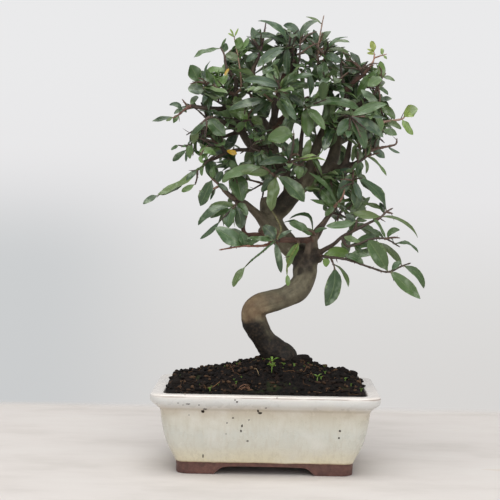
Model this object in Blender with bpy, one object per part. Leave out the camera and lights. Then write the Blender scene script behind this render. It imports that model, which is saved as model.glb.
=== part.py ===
"""Pomegranate bonsai in a glazed rectangular pot, in metres, +Z up.

The origin lies on the table, under the middle of the whole object. The pot stands square to the
axes, with its long front towards -Y. The tree is described as it is seen from the front: each
point of a limb, twig or leaf is given across and down a square front view of 500 steps, with its
depth in millimetres behind the pot's middle, and seen() turns it into a place in space.
"""

import math
import random
from collections import namedtuple

import bpy
from mathutils import Vector
from mathutils.bvhtree import BVHTree

# Driving dimensions of the pot, in metres
POT_LENGTH = 0.1576
POT_DEPTH = 0.118
POT_HEIGHT = 0.0567
POT_MIDDLE = Vector((-0.0112, -0.0097, 0.0))
CORNER_RADIUS = 0.011
LIP_WIDTH = 0.0092
FLOOR_TOP = 0.0125

UNDERSIDE = 0.0062
DRAIN_RADIUS = 0.006
DRAIN_SPREAD = 0.030
BELOW = -0.002
INSIDE_CORNER = 0.62
CORNER_TAPER = 0.12
HOLLOW_CORNER = 0.004
SMOOTH_POT = 35
SMOOTH_BARK = 50


# Half width lost from the lip's edge, and height, down the outside of the pot and then the inside
POT_OUTSIDE = [
    (0.0181, 0.0000),
    (0.0176, 0.0007),
    (0.0175, 0.0080),
    (0.0169, 0.0086),
    (0.0162, 0.0111),
    (0.0128, 0.0174),
    (0.0107, 0.0230),
    (0.0087, 0.0300),
    (0.0073, 0.0391),
    (0.0068, 0.0446),
    (0.0058, 0.0464),
    (0.0026, 0.0490),
    (0.0007, 0.0509),
    (0.0000, 0.0529),
    (0.0000, 0.0556),
        (0.0012, POT_HEIGHT),
]
POT_INSIDE = [
    (LIP_WIDTH - 0.0008, POT_HEIGHT),
    (LIP_WIDTH, 0.0558),
    (0.0106, 0.0500),
    (0.0200, FLOOR_TOP),
]

# Arches between the feet: half span at the table, at the shoulder and at the crown, and heights
ARCH_SHOULDER = 0.0038
LONG_ARCH = (0.0352, 0.0308, 0.0272, 0.0057)
SHORT_ARCH = (0.0190, 0.0168, 0.0140, 0.0052)
FOOT_RING = 0.0095

# The front view: where the eye is, how it is turned, and how many steps it spreads a tangent over
VIEW_MIDDLE = 250.0
VIEW_FOCUS = 1460.0
EYE = Vector((0.0022, -1.0385, 0.1925))
EYE_TURN = math.radians(0.83)
EYE_DIP = math.radians(2.17)
EYE_ROLL = math.radians(0.95)
STEP = 0.000711
MM = 0.001

# Clearances between pieces that grow or rest against each other, and the trials that find them
SEAT_GAP = 0.00025
SEAT_STEP = 0.0001
SEAT_TRIALS = 25
CLEARANCE = 0.00035
TWIG_SHIFTS = (0, -3, 3, -6, 6, -9, 9, -12, 12)
LEAF_SHIFTS = (0, -4, 4, -8, 8, -12, 12, -16, 16)
NEAR_LEAVES = 0.006


# Blades: thickness at the midrib, how far the edges fold up, and the stations along the blade
BLADE_THICKNESS = 0.0012
BLADE_FOLD = 0.22
LONG_BLADE = 0.0165
LONG_STATIONS = ((0.11, 0.2), (0.43, 1.0), (0.78, 0.75))
SHORT_STATIONS = ((0.2, 0.35), (0.6, 1.0))
ROOT_SINK = 0.0006
TWIG_END = 0.0009
TWIG_SIDES = 3
TWIG_RADIUS = 0.00125
FORK_RADIUS = 0.00095
TIP_RADIUS = 0.00055
FAN_REACH = 0.024
FAN_FORK = 0.006
RULE_TRIALS = 40
RULE_LENGTHS = (0.017, 0.029)
RULE_WIDTHS = (0.26, 0.35)


Leaf = namedtuple("Leaf", "base tip bulge normal width")
Twig = namedtuple("Twig", "points radii")

# Limbs of the trunk's piece: name, number of sides, then points (across, down, depth, width)
LIMBS = [
    ("trunk", 8, [
        (282, 388, 0, 30), (281, 378, 0, 38), (281, 368, 0, 41), (281.5, 358.5, 0, 32),
        (274, 351, -1, 26.5), (264.5, 340, -3, 22.5), (258.5, 330, -5, 23), (254, 320, -7, 24.5), (253.5, 311, -8, 24.5),
        (260, 304.5, -8, 24), (272, 301, -6, 22), (285, 297, -3, 21), (297, 290, 0, 22),
        (303.5, 280, 3, 21.5), (305, 269, 6, 24.5), (304.5, 259, 9, 26), (293.5, 250, 12, 22),
        (283, 239, 15, 21.5), (275, 229.5, 17, 22.5), (271, 221, 18, 24), (271, 213, 19, 19)]),
    ("sawn_leader", 6, [
        (271, 223, 17, 15), (267, 212, 16, 14.5), (265.5, 204, 16, 12), (264.5, 197, 16, 8)]),
    ("right_leader", 6, [
        (270, 219, 17, 20), (280.5, 208.5, 15, 19.5), (290.5, 196, 13, 19), (301, 185, 13, 17.5),
        (314, 179, 13, 14.5), (326, 170, 14, 12.5), (333, 158, 15, 12), (336, 144, 15, 11),
        (338, 131, 15, 10.5), (339, 120, 14, 9), (343, 104, 12, 6.5), (344.5, 90, 11, 5),
        (341.5, 74, 9, 3), (341, 57, 10, 2)]),
    ("centre_leader", 6, [
        (302, 187, 13, 15), (309, 172, 10, 13), (313, 157, 10, 11.5), (318, 144, 11, 10.5),
        (324, 130, 12, 9), (328, 116, 13, 7), (329, 104, 14, 5)]),
    ("centre_stem", 5, [
        (299, 190, 14, 8), (298, 174, 9, 5.2), (300, 158, 7, 4.8), (301, 142, 7, 4.6),
        (303, 128, 6, 4.2), (306, 115, 5, 3.6)]),
    ("middle_limb", 6, [
        (289, 200, 18, 14), (290, 188, 21, 13.5), (288, 177, 22, 13), (281, 168, 22, 13),
        (274, 158, 22, 13), (272, 147, 22, 12.5), (272, 136, 21, 11), (273, 124, 20, 9),
        (276, 110, 19, 6.5), (279, 97, 17, 5.5), (281, 86, 15, 4.8), (284, 73, 14, 3.8)]),
    ("left_leader", 5, [
        (273, 152, 22, 12), (262, 149, 21, 11), (252, 145, 19, 9.5), (245, 137, 16, 8.5),
        (240, 126, 13, 7.5), (236, 114, 10, 7), (235, 102, 9, 6.5), (236, 90, 8, 5.5),
        (236, 79, 7, 4)]),
    ("right_upright", 4, [
        (330, 166, 14, 9), (341, 168, 8, 7), (347, 159, 7, 6.2), (349, 148, 8, 5), (351, 137, 9, 4)]),
    ("stub_branch", 5, [
        (311, 259, 6, 14), (313, 248, 2, 10.5), (313.5, 240, -1, 9), (316, 232, -3, 6.6),
        (321, 225, -6, 4.8), (329, 216, -8, 4.4), (334, 207, -9, 4)]),
    ("cut_stub", 6, [(305, 260, 4, 8), (307.5, 253, -1, 7.4), (308.5, 247, -3, 6.6), (309, 243, -3, 6)]),
    ("right_low_branch", 4, [
        (314, 256, 5, 9), (324, 250, -1, 5), (334, 244, -7, 4.4), (342, 237, -11, 4),
        (357, 229, -14, 3.6), (375, 220, -12, 3)]),
    ("cross_branch", 4, [
        (314, 240, 0, 7), (302, 240, -7, 5.6), (287, 240, -13, 5.6), (275, 240, -16, 5)]),
    ("left_low_branch", 4, [
        (269, 226, 15, 15), (257, 214, 8, 9), (246, 204.5, 2, 7.5), (233, 198, -3, 6),
        (223, 189, -4, 5)]),
    ("left_flat_branch", 4, [
        (272, 237, 13, 8), (257, 235, 3, 5.5), (246, 234.5, -3, 5), (243, 227, -5, 4.6),
        (246, 214, -7, 4)]),
    ("crown_fork", 4, [(274, 127, 20, 8), (287, 114, 14, 5.5), (300, 102, 8, 4.5), (309, 97, 4, 3.6)]),
    ("left_middle_branch", 4, [
        (261, 150, 21, 8), (249, 150, 13, 4.6), (237, 150, 9, 4), (226, 153, 6, 3.8),
        (214, 159, 2, 3.6), (205, 161, 1, 3.4)]),
    ("left_upper_branch", 4, [
        (233, 107, 9, 6), (219, 109, 5, 5.2), (205, 108, 3, 4.6), (191, 106, 4, 4)]),
    ("left_thin_branch", 4, [
        (241, 131, 14, 5.5), (232, 134, 10, 4), (222, 137, 5, 3.6), (212, 137, 2, 3.2),
        (202, 134, 1, 3)]),
    ("crown_left_branch", 4, [
        (277, 106, 18, 6.5), (264, 92, 10, 5.5), (253, 74, 6, 5), (258, 58, 5, 4)]),
    ("crown_middle_branch", 4, [(281, 89, 16, 5.8), (290, 72, 9, 5), (294, 58, 6, 4.4)]),
    ("crown_right_branch", 4, [
        (327, 121, 13, 7), (327, 104, 18, 5.5), (323, 84, 20, 4.6), (318, 64, 17, 4)]),
    ("right_fork", 4, [(344, 92, 11, 6), (354, 82, 7, 4.4), (363, 75, 5, 3.8), (370, 67, 4, 3.2)]),
    ("bare_spur", 4, [(351, 84, 8, 3.8), (360, 71, 7, 2.8), (368, 61, 7, 2)]),
    ("right_middle_branch", 4, [
        (339, 121, 14, 8), (351, 111, 11, 6), (364, 101, 8, 5), (375, 94, 6, 4)]),
    ("right_flat_branch", 4, [
        (337, 137, 15, 9), (347, 130, 9, 6), (360, 125, 3, 4.8), (377, 123, 1, 4)]),
    ("right_inner_branch", 4, [
        (344, 166, 7, 6), (356, 163, 5, 4.8), (362, 157, 3, 4.4), (369, 151, 2, 3.6)]),
    ("right_hanging_branch", 4, [
        (318, 177, 14, 10), (332, 178, 6, 6.5), (344, 173, -2, 5.4), (352, 167, -6, 4.4)]),
    ("front_middle_branch", 4, [
        (275, 157, 22, 9), (281, 158, 8, 6), (287, 162, -8, 5), (289, 163, -18, 4.5)]),
    ("front_low_branch", 4, [
        (284, 172, 22, 9), (280, 171, 8, 6), (276, 173, -8, 5), (274, 176, -19, 4.2)]),
    ("front_top_branch", 4, [
        (274, 124, 20, 8), (274, 112, 4, 5.5), (274, 103, -11, 5), (277, 96, -23, 4.2)]),
    ("front_right_branch", 4, [
        (338, 122, 14, 8), (342, 120, -1, 6), (346, 117, -14, 5), (350, 116, -23, 4.2)]),
    ("front_left_branch", 4, [
        (242, 131, 14, 7), (232, 127, 5, 5.5), (222, 122, -6, 4.6), (210, 117, -9, 4)]),
    ("left_inner_branch", 4, [
        (280, 168, 22, 8), (264, 167, 14, 5.8), (250, 167, 8, 5.2), (238, 168, 4, 4.5)]),
    ("back_low_left", 5, [
        (272, 222, 18, 15), (270, 208, 28, 8), (271, 195, 36, 6), (269, 180, 42, 4.5)]),
    ("back_low_right", 5, [
        (302, 251, 12, 15), (314, 239, 25, 8), (325, 221, 33, 6), (337, 205, 37, 4.5)]),
    ("back_middle_right", 5, [
        (296, 192, 13, 13), (304, 179, 27, 7.5), (311, 165, 36, 5.5), (315, 150, 43, 4.5)]),
    ("back_middle", 5, [(281, 168, 22, 11), (272, 155, 34, 6.5), (263, 143, 43, 4.8)]),
    ("back_upper_left", 4, [(272, 134, 21, 9), (262, 117, 31, 6), (252, 98, 36, 4.5)]),
    ("back_upper_right", 4, [(338, 123, 14, 8), (343, 108, 26, 6), (349, 92, 34, 4.5)]),
    ("back_crown", 4, [(277, 106, 18, 6.5), (286, 86, 27, 5), (296, 66, 31, 4)]),
    ("back_right", 4, [(336, 142, 15, 10), (348, 138, 24, 6), (359, 133, 29, 4.5)]),
    ("back_left", 4, [(240, 127, 14, 7.5), (234, 121, 24, 5.2), (226, 121, 29, 4.6), (216, 125, 30, 4)]),
]

# Sprays: name, twigs (each across, down, depth; the first grows from a limb, the rest fork off it),
# leaves (base across and down, tip across and down, width seen, bow), number of leaves added by rule
SPRAYS = [
    ("crown_left", [[(234, 85, 7), (227, 68, 5), (224, 54, 6), (220, 47, 7)]],
     [(218, 49, 193, 56, 5, 0), (220, 46, 226, 38, 2.5, 1), (225, 58, 241, 62, 8, 1)], 4),
    ("crown_left_shoot", [[(234, 97, 7), (241, 87, 1), (240, 70, -1), (237, 52, 2), (234, 36, 7)]],
     [(234, 37, 228, 33, 2, 0), (234, 36, 230, 29, 2, 0), (234, 35, 238, 28, 2, 1),
      (238, 50, 240, 37, 9, 0), (240, 52, 248, 37, 5, 1), (239, 60, 225, 55, 8, 1)], 3),
    ("left_high", [[(233, 96, 8), (220, 89, 3), (208, 84, 1), (199, 82, 2), (190, 84, 4)],
                   [(208, 84, 1), (205, 92, -2)]],
     [(199, 82, 190, 65, 13.5, 0), (203, 83, 210, 61, 2, -1), (204, 92, 188, 88, 11, 0),
      (212, 86, 206, 69, 7, 0), (216, 87, 228, 74, 7, 1)], 4),
    ("left_far", [[(191, 106, 4), (184, 110, 5), (177, 116, 5), (172, 118, 4)],
                  [(188, 107, 4), (182, 99, 5)]],
     [(190, 106, 198, 95, 6, 0), (181, 112, 169, 105, 5, 4), (174, 117, 152, 121, 4.5, 0),
      (173, 118, 166, 121, 3, 0), (179, 114, 173, 123, 5, 0),
      (185, 109, 174, 114, 4, 1)], 0),
    ("left_front", [[(210, 117, -9), (205, 120, -9), (200, 125, -9)]],
     [(206, 118, 190, 135, 6, 2), (208, 117, 226, 135, 14, -2), (200, 125, 193, 144, 8, -1)], 3),
    ("left_middle_tip", [[(202, 134, 1), (196, 139, 1), (190, 145, 1), (187, 150, 2)],
                         [(190, 145, 1), (183, 146, 3), (178, 145, 4)]],
     [(187, 145, 182, 147, 2.5, 0), (178, 145, 171, 150, 3.5, 0), (186, 151, 172, 161, 6, 0),
      (187, 150, 186, 162, 3, 0), (192, 143, 190, 159, 7, -1), (196, 140, 214, 146, 8, 1),
      (199, 137, 213, 130, 8, 1)], 2),
    ("left_cluster", [[(205, 161, 1), (203, 166, -1), (192, 173, 2), (180, 182, 6), (157, 196, 4)],
                      [(203, 165, 0), (211, 158, -5), (217, 155, -9)],
                      [(197, 170, 0), (197, 178, -2), (195, 185, -2)]],
     [(200, 170, 158, 195, 7, -3), (158, 196, 143, 204, 6, 1), (195, 186, 181, 191, 6, 0),
      (204, 164, 202, 176, 4, -1), (217, 155, 199, 151, 7, 2)], 1),
    ("left_low_tip", [[(223, 189, -4), (217, 183, -5), (210, 177, -6)],
                      [(220, 186, -5), (212, 189, -6), (199, 191, -3)]],
     [(213, 179, 200, 206, 12, 0), (216, 188, 210, 200, 3, 0), (217, 183, 222, 171, 8, 0),
      (212, 179, 214, 166, 6, 0)], 2),
    ("left_hanging", [[(238, 200, -2), (236, 205, -9), (232, 209, -13)],
                      [(236, 205, -9), (227, 214, -13), (220, 221, -14)]],
     [(233, 207, 228, 228, 12, -1), (236, 206, 241, 229, 12, 1), (231, 209, 210, 218, 8, 2),
      (234, 206, 197, 225, 8, 4.5), (220, 221, 200, 239, 5, -2), (238, 204, 247, 216, 8, 1)], 2),
    ("left_under", [[(275, 240, -16), (266, 245, -21), (255, 246, -23), (242, 246, -23),
                     (230, 248, -22), (219, 250, -19)]],
     [(243, 247, 216, 227, 15, 0), (241, 246, 229, 247, 2, 1), (246, 246, 240, 233, 9, 0),
      (248, 246, 262, 238, 5, 1)], 1),
    ("centre_low", [[(281, 239, -15), (277, 240, -22), (274, 241, -25)],
                    [(275, 241, -24), (262, 252, -27), (252, 260, -27), (245, 267, -26)],
                    [(277, 240, -22), (281, 229, -20), (277, 219, -19), (272, 211, -19)]],
     [(274, 240, 247, 238, 5, 0), (275, 240, 263, 226, 12, 1), (245, 266, 233, 287, 7.5, -0.5), 
      (275, 242, 281.5, 273, 7, 0), (277, 240, 292, 230, 4, 1)], 0),
    ("trunk_leaf", [[(298, 240, -8), (299, 244, -14)],
                    [(299, 243, -14), (293, 252, -17), (287.5, 264, -18), (287, 275, -18)]],
     [(299, 244, 287, 268, 8.5, -1), (287, 275, 288, 286, 5, 0)], 0),
    ("stub_cluster", [[(316, 236, -2), (313, 232, -10), (308, 230, -14)]],
          [(313, 232, 289, 218, 3, 11), (307, 231, 289, 223, 8.5, 1), (306, 230, 283, 221, 2.5, 3),
      (313, 236, 300, 228, 7, 1),
      (314, 233, 327, 228, 4, 1)], 0),
    ("centre_right", [[(334, 207, -9), (337, 204, -14), (342, 198, -17), (345, 189, -18)]],
     [(337, 205, 309, 172, 4, 3), (335, 207, 321, 190, 12, 0), (335, 207, 310, 200, 4, -1),
      (335, 206, 325, 216, 6, 0)], 3),
    ("right_hanging", [[(352, 167, -6), (353, 174, -12), (353, 184, -17)]],
     [(353, 172, 351, 190, 13, 0), (353, 184, 357, 209, 11, 1), (352, 176, 338, 199, 10, -1),
      (353, 180, 361, 199, 7, 0)], 3),
    ("right_out", [[(375, 220, -12), (381, 217, -11), (386, 212, -10), (393, 208, -6)],
                   [(386, 212, -10), (393, 213.5, -6)]],
     [(386, 211, 358, 177, 8, 4), (385, 212, 362, 203, 4, 1), (384, 214, 380, 202, 5, 0),
      (382, 217, 352, 213, 8, -1), (382, 217, 420, 236, 3.5, 5)], 0),
    ("right_low_side", [[(352, 232, -13), (356, 225, -17), (357, 219, -20)]],
     [(356, 221, 326, 226, 8, -2), (356, 222, 345, 214, 6, 0)], 2),
    ("right_out_low", [[(342, 237, -11), (347, 246, -14), (358, 244, -15), (372, 239, -14),
                        (386, 239, -9), (400, 247, -2)],
                       [(385, 239, -10), (393, 237.5, -6), (400, 238, -2)]],
     [(386, 239, 375, 218, 4, 0), (387, 238, 400, 230, 6, 3), (385, 239, 352, 225, 5, 1),
      (396, 242, 418, 253, 3, 3), (361, 243, 344, 237, 6, 0)], 1),
    ("right_lowest", [[(315, 257, 5), (326, 257, -5), (338, 258, -10), (352, 261, -12),
                       (372, 268, -11), (388, 272, -7), (402, 266, 0), (411, 263, 0)],
                      [(330, 257, -6), (333, 263, -10), (335, 269, -13)]],
     [(388, 271, 368, 240, 17, 0), (402, 266, 378, 242, 7, 2), (391, 270, 401, 261, 6, 0),
      (390, 272, 420, 299, 12, 0), (403, 266, 425, 289, 8, 4.5), (391, 271, 394, 281, 1.5, 0),
      (364, 265, 345, 255, 7, 2), (324, 256, 350, 253, 13, 1), (336, 267, 325, 306, 16, 4),
      (335, 263, 348, 287, 4, 2), (327, 257, 326, 267, 7, 0)], 0),
    ("crown_middle", [[(294, 58, 6), (292, 51, 3), (287, 45, 1)]],
     [(288, 45, 258, 21, 5, 6), (288, 46, 252, 35, 6, 3), (288, 45, 266, 35, 4, 1),
      (287, 46, 287, 76, 8, 0), (288, 47, 257, 66, 10, 2)], 1),
    ("crown_middle_right", [[(290, 72, 9), (298, 64, 3), (300, 52, 2), (300, 40, 4)]],
     [(301, 38, 283, 25, 8, 3), (300, 40, 319, 20, 6, -5), (299, 45, 312, 55, 9, 1),
      (299, 48, 288, 43, 7, 1)], 2),
    ("crown_tip", [[(318, 64, 17), (318, 50, 12), (320, 36, 12), (322, 24, 13), (324, 15, 12)]],
     [(322, 24, 306, 17, 2.5, 1), (318, 57, 314, 29, 8, 0), (320, 42, 331, 31, 6, 1),
      (318, 50, 306, 38, 6, 1)], 2),
    ("crown_right", [[(320, 74, 18), (324, 60, 11), (325, 50, 8)]],
     [(325, 51, 350, 41, 3.5, 4), (325, 53, 351, 59, 4, 6), (325, 52, 347, 35, 2.5, 2),
      (325, 56, 341, 62, 9, 1), (324, 60, 322, 80, 11, 0)], 3),
    ("crown_right_side", [[(361, 75, 5), (361, 68, 2)]],
     [(361, 69, 350, 52, 6.5, 1), (361, 70, 348, 71, 7, 0)], 2),
    ("crown_left_middle", [[(258, 58, 5), (262, 45, 4), (266, 22, 9)]],
     [(261, 48, 252, 27, 9, -1), (262, 44, 243, 48, 7, 2), (259, 54, 246, 62, 7, 1)], 3),
    ("front_top", [[(277, 96, -23), (278, 91, -28), (281, 87, -31)], [(277, 95, -24), (271, 102, -30)]],
     [(281, 88, 243, 81, 9, 3), (272, 102, 228, 109, 8, 2), (273, 101, 249, 117, 4, 1),
      (279, 90, 266, 72, 7, 0)], 3),
    ("left_small_front", [[(235, 126, 12), (243, 122, 0), (251, 119, -9)]],
     [(249, 120, 237, 113, 8, 1), (251, 119, 262, 125, 9, 1), (247, 121, 246, 128, 2.5, 0),
      (245, 121, 236, 132, 8, 0)], 3),
    ("front_middle", [[(289, 163, -18), (290, 160, -24), (293, 147, -27), (294, 133, -30)],
                      [(290, 161, -23), (297, 165, -20), (304, 165, -17)]],
     [(294, 133, 267, 139, 15, 0), (290, 160, 283, 141, 9.5, 0), (290, 160, 298, 138, 11, 0),
      (291, 162, 326, 161, 4.5, 2), (298, 165, 299, 179, 9, 0), (304, 165, 310, 139, 8, 0),
      (290, 161, 259, 165, 8, 2)], 0),
    ("front_fork", [[(300, 104, 8), (304, 107, -6), (306, 108, -18)]],
     [(305, 108, 308, 137, 13, 0), (306, 108, 325, 130, 9, 1), (306, 107, 363, 107, 9.5, 4),
      (304, 107, 289, 95, 8, 0)], 1),
    ("left_inner", [[(238, 168, 4), (236, 169, -2), (234, 170, -7)]],
     [(235, 170, 243, 201, 18, -1), (235, 170, 222, 182, 9, 0)], 2),
    ("front_low", [[(274, 176, -19), (277, 176, -25)],
                   [(275, 176, -23), (268, 170, -27), (262, 166, -28)]],
     [(276, 177, 271, 211, 12, 0), (275, 177, 261, 192, 9, 0), (277, 176, 305, 202, 14, 2),
      (262, 166, 222, 178, 10, 1), (270, 173, 240, 171, 8, -1)], 1),
    ("front_right", [[(350, 116, -23), (351, 117, -28)]],
     [(351, 117, 384, 137, 10, 2), (350, 117, 366, 149, 12, 2), (351, 116, 387, 103, 9, 1),
      (350, 117, 338, 136, 10, 0)], 2),
    ("right_upper", [[(375, 94, 6), (378, 86, 4), (382, 78, 4), (386, 73, 5)],
                     [(377, 87, 4), (380, 97, -2), (379, 108, -4)]],
     [(381, 80, 380, 61, 9, 0), (383, 77, 395, 81, 4, 1), (379, 88, 388, 95, 4, 1),
      (379, 99, 392, 99, 5, 0), (379, 107, 361, 89, 8, 0), (379, 108, 395, 119, 8, 2)], 2),
    ("right_tip", [[(377, 123, 1), (390, 121, 3), (402, 119, 6), (405, 116, 7)],
                   [(380, 122.5, 1), (383, 131, -1)]],
     [(403, 117, 418, 109, 12, 1), (402, 119, 413, 135, 7, -1), (386, 122, 402, 129, 6, 1),
      (383, 131, 397, 135, 7, 1)], 1),
    ("right_shoot", [[(370, 67, 4), (374, 59, 5), (374, 51, 6)],
                     [(374, 58, 5), (380, 56, 7), (387, 54, 8)]],
     [(374, 51, 371, 41, 6, 0), (374, 52, 367, 49, 2.5, 0), (374, 54, 367, 53, 3, 0),
      (382, 55, 382, 48, 4, 0), (383, 55, 387, 59, 2.5, 0)], 0),
    ("right_middle_tip", [[(368, 150, 2), (380, 148, 2), (390, 146, 3), (396, 144, 4), (397, 138, 4)]],
     [(388, 147, 400, 153, 3, -1), (373, 149, 385, 158, 8, 0), (375, 149, 371, 137, 8, 0)], 3),
    ("right_middle_low", [[(350, 167, -5), (362, 160, -7), (372, 153, -6)]],
     [(368, 156, 386, 176, 3, 1), (364, 159, 366, 174, 3.5, 2), (360, 161, 356, 148, 8, 0)], 2),
    ("centre_inner", [[(275, 148, 26), (262, 146, 4), (253, 142, -12), (250, 150, -22)],
                      [(262, 146, 4), (256, 158, -2)]], [], 8),
    ("right_inner", [[(334, 131, 15), (331, 126, 0), (334, 128, -16)],
                     [(331, 127, 0), (318, 122, -8)]], [], 8),
    ("right_inner_low", [[(315, 164, 14), (322, 176, 0), (328, 186, -14)],
                         [(321, 175, 2), (336, 178, -4)]], [], 8),
    ("crown_inner", [[(326, 98, 20), (334, 88, 6), (337, 76, -2)],
                     [(331, 92, 11), (322, 84, -2)]], [], 8),
    ("crown_inner_left", [[(263, 91, 10), (255, 90, -2), (247, 93, -12)],
                          [(256, 90, 0), (262, 80, -8)]], [], 8),
    ("left_inner_high", [[(233, 112, 9), (222, 104, -3), (214, 100, -12)],
                         [(225, 106, 0), (222, 94, 4)]], [], 8),
    ("left_inner_low", [[(228, 151, 6), (218, 146, -4), (206, 146, -10)],
                        [(219, 146, -2), (214, 138, 2)]],
     [(228, 151, 237, 154, 5.5, 0)], 8),
    ("back_low_left", [[(269, 180, 42)]], [], 9),
    ("back_low_right", [[(337, 205, 37)]], [], 9),
    ("back_middle_right", [[(315, 150, 43)]], [], 9),
    ("back_middle", [[(263, 143, 43)]], [], 9),
    ("back_upper_left", [[(252, 98, 36)]], [], 10),
    ("back_upper_right", [[(349, 92, 34)]], [], 10),
    ("back_crown", [[(296, 66, 31)]], [], 10),
    ("back_right", [[(359, 133, 29)]], [], 10),
    ("back_left", [[(216, 125, 30)]], [], 9),
]

# The canopy's middle, its outline in the front view and the gaps in it, which rule leaves keep to

CANOPY_MIDDLE = (295, 150, 14)
CANOPY = [
    (250, 34), (266, 24), (284, 26), (303, 30), (322, 30), (333, 42), (350, 48), (358, 62),
    (372, 60), (386, 66), (386, 80), (382, 92), (388, 100), (391, 118), (398, 124), (394, 130),
    (378, 138), (380, 156), (370, 160), (366, 176), (380, 200), (386, 214), (384, 226),
    (396, 240), (394, 254), (386, 262), (370, 256), (350, 256), (336, 260), (324, 258),
    (330, 246), (345, 240), (338, 228), (326, 214), (306, 202), (300, 190), (280, 186),
    (262, 192), (250, 190), (246, 206), (248, 240), (226, 240), (212, 222), (204, 212),
    (204, 196), (212, 180), (206, 170), (198, 160), (186, 156), (188, 140), (196, 128),
    (206, 116), (198, 112), (178, 114), (180, 104), (198, 98), (190, 90), (192, 70),
    (204, 69), (222, 69), (226, 54), (236, 46)]
GAPS = [
    (201, 102, 5), (197, 118, 8), (219, 106, 4), (250, 100, 5), (256, 71, 5), (250, 59, 3),
    (302, 58, 4), (242, 143, 5), (243, 158, 5), (228, 137, 3), (254, 184, 8), (256, 198, 8),
    (281, 182, 4), (306, 93, 3), (315, 92, 3), (319, 109, 4), (327, 158, 5), (326, 166, 4),
    (319, 130, 5), (297, 131, 4), (345, 164, 4), (346, 146, 4), (225, 180, 5), (363, 165, 5),
    (369, 92, 4), (280, 113, 4), (268, 123, 4), (313, 198, 3), (343, 230, 4), (302, 206, 9),
    (316, 214, 6), (329, 238, 8), (338, 246, 4), (360, 189, 4), (372, 206, 3), (222, 196, 5),
    (390, 228, 4), (310, 246, 5), (352, 252, 3), (269, 31, 5),
    (268, 46, 4), (372, 226, 5), (356, 234, 4)]

# Wood that the front view shows bare: limb, and from how far down to how far down
BARE_WOOD = [
    ("left_leader", 78, 152), ("middle_limb", 68, 176), ("right_leader", 56, 84),
    ("right_leader", 132, 200), ("centre_leader", 118, 190), ("centre_stem", 122, 180),
    ("right_upright", 146, 170), ("right_fork", 62, 84), ("bare_spur", 55, 84), ("cut_stub", 240, 262),
    ("right_low_branch", 216, 252), ("left_low_branch", 188, 222), ("sawn_leader", 190, 220),
    ("stub_branch", 200, 250), ("left_middle_branch", 146, 162), ("trunk", 200, 400)]
COVER_CELL = 4.0

# Weeds in the soil: name, foot in the front view, height, and leaves (turn, reach, rise, width)
SEEDLINGS = [
    ("seedling_front", (271.5, 374), 0.0082,
     [(10, 0.0050, 0.0018, 0.0022), (100, 0.0038, 0.0024, 0.0018), (175, 0.0052, 0.0012, 0.0022),
      (265, 0.0042, 0.0006, 0.0020)]),
    ("seedling_right", (317, 382), 0.0040,
     [(30, 0.0036, 0.0016, 0.0018), (150, 0.0036, 0.0014, 0.0018), (260, 0.0030, 0.0010, 0.0016)]),
]

# Soil: heights of the ridge through the trunk, from the left end of the pot to the right
SOIL_EDGE = 0.0560
SOIL_APEX = (278, 357, 0)
SOIL_CORNER = 0.6
SOIL_SHARES = (0.94, 0.8, 0.62, 0.42)
SOIL_CORE = 0.21
SOIL_ROUGH = 0.0006
SOIL_FALL = 1.9
STUMP_RISE = 0.025
STUMP_CLEARANCE = 0.00046
STEM_RADIUS = 0.0006
STEM_ROOT = 0.004

SOIL_STEPS = (6, 4)
SOIL_RIDGE = [
    (-0.0700, 0.0590), (-0.0640, 0.0640), (-0.0470, 0.0672), (-0.0330, 0.0698), (-0.0190, 0.0728),
    (-0.0060, 0.0765), (0.0080, 0.0780), (0.0240, 0.0765), (0.0310, 0.0730), (0.0385, 0.0700),
    (0.0460, 0.0684), (0.0535, 0.0690), (0.0600, 0.0655), (0.0670, 0.0610), (0.0700, 0.0575)]


def seen(across, down, depth):
    """The place, so many millimetres behind the pot's middle, that shows there in the front view."""
    right = Vector((math.cos(EYE_TURN), math.sin(EYE_TURN), 0.0))
    level = Vector((-math.sin(EYE_TURN), math.cos(EYE_TURN), 0.0))
    up = Vector((0.0, 0.0, 1.0))
    ahead = level * math.cos(EYE_DIP) - up * math.sin(EYE_DIP)
    above = level * math.sin(EYE_DIP) + up * math.cos(EYE_DIP)
    a = (across - VIEW_MIDDLE) / VIEW_FOCUS
    b = (down - VIEW_MIDDLE) / VIEW_FOCUS
    sideways = math.cos(EYE_ROLL) * a + math.sin(EYE_ROLL) * b
    downward = math.cos(EYE_ROLL) * b - math.sin(EYE_ROLL) * a
    sight = ahead + right * sideways - above * downward
    return EYE + sight * ((depth * MM - EYE.y) / sight.y) + POT_MIDDLE


def shown(place):
    """The across and down of a place in the front view, the inverse of seen()."""
    offset = place - POT_MIDDLE - EYE
    along = offset.x * math.cos(EYE_TURN) + offset.y * math.sin(EYE_TURN)
    level = offset.y * math.cos(EYE_TURN) - offset.x * math.sin(EYE_TURN)
    ahead = level * math.cos(EYE_DIP) - offset.z * math.sin(EYE_DIP)
    above = level * math.sin(EYE_DIP) + offset.z * math.cos(EYE_DIP)
    a = along / ahead
    b = -above / ahead
    across = math.cos(EYE_ROLL) * a - math.sin(EYE_ROLL) * b
    down = math.sin(EYE_ROLL) * a + math.cos(EYE_ROLL) * b
    return VIEW_MIDDLE + VIEW_FOCUS * across, VIEW_MIDDLE + VIEW_FOCUS * down


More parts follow.
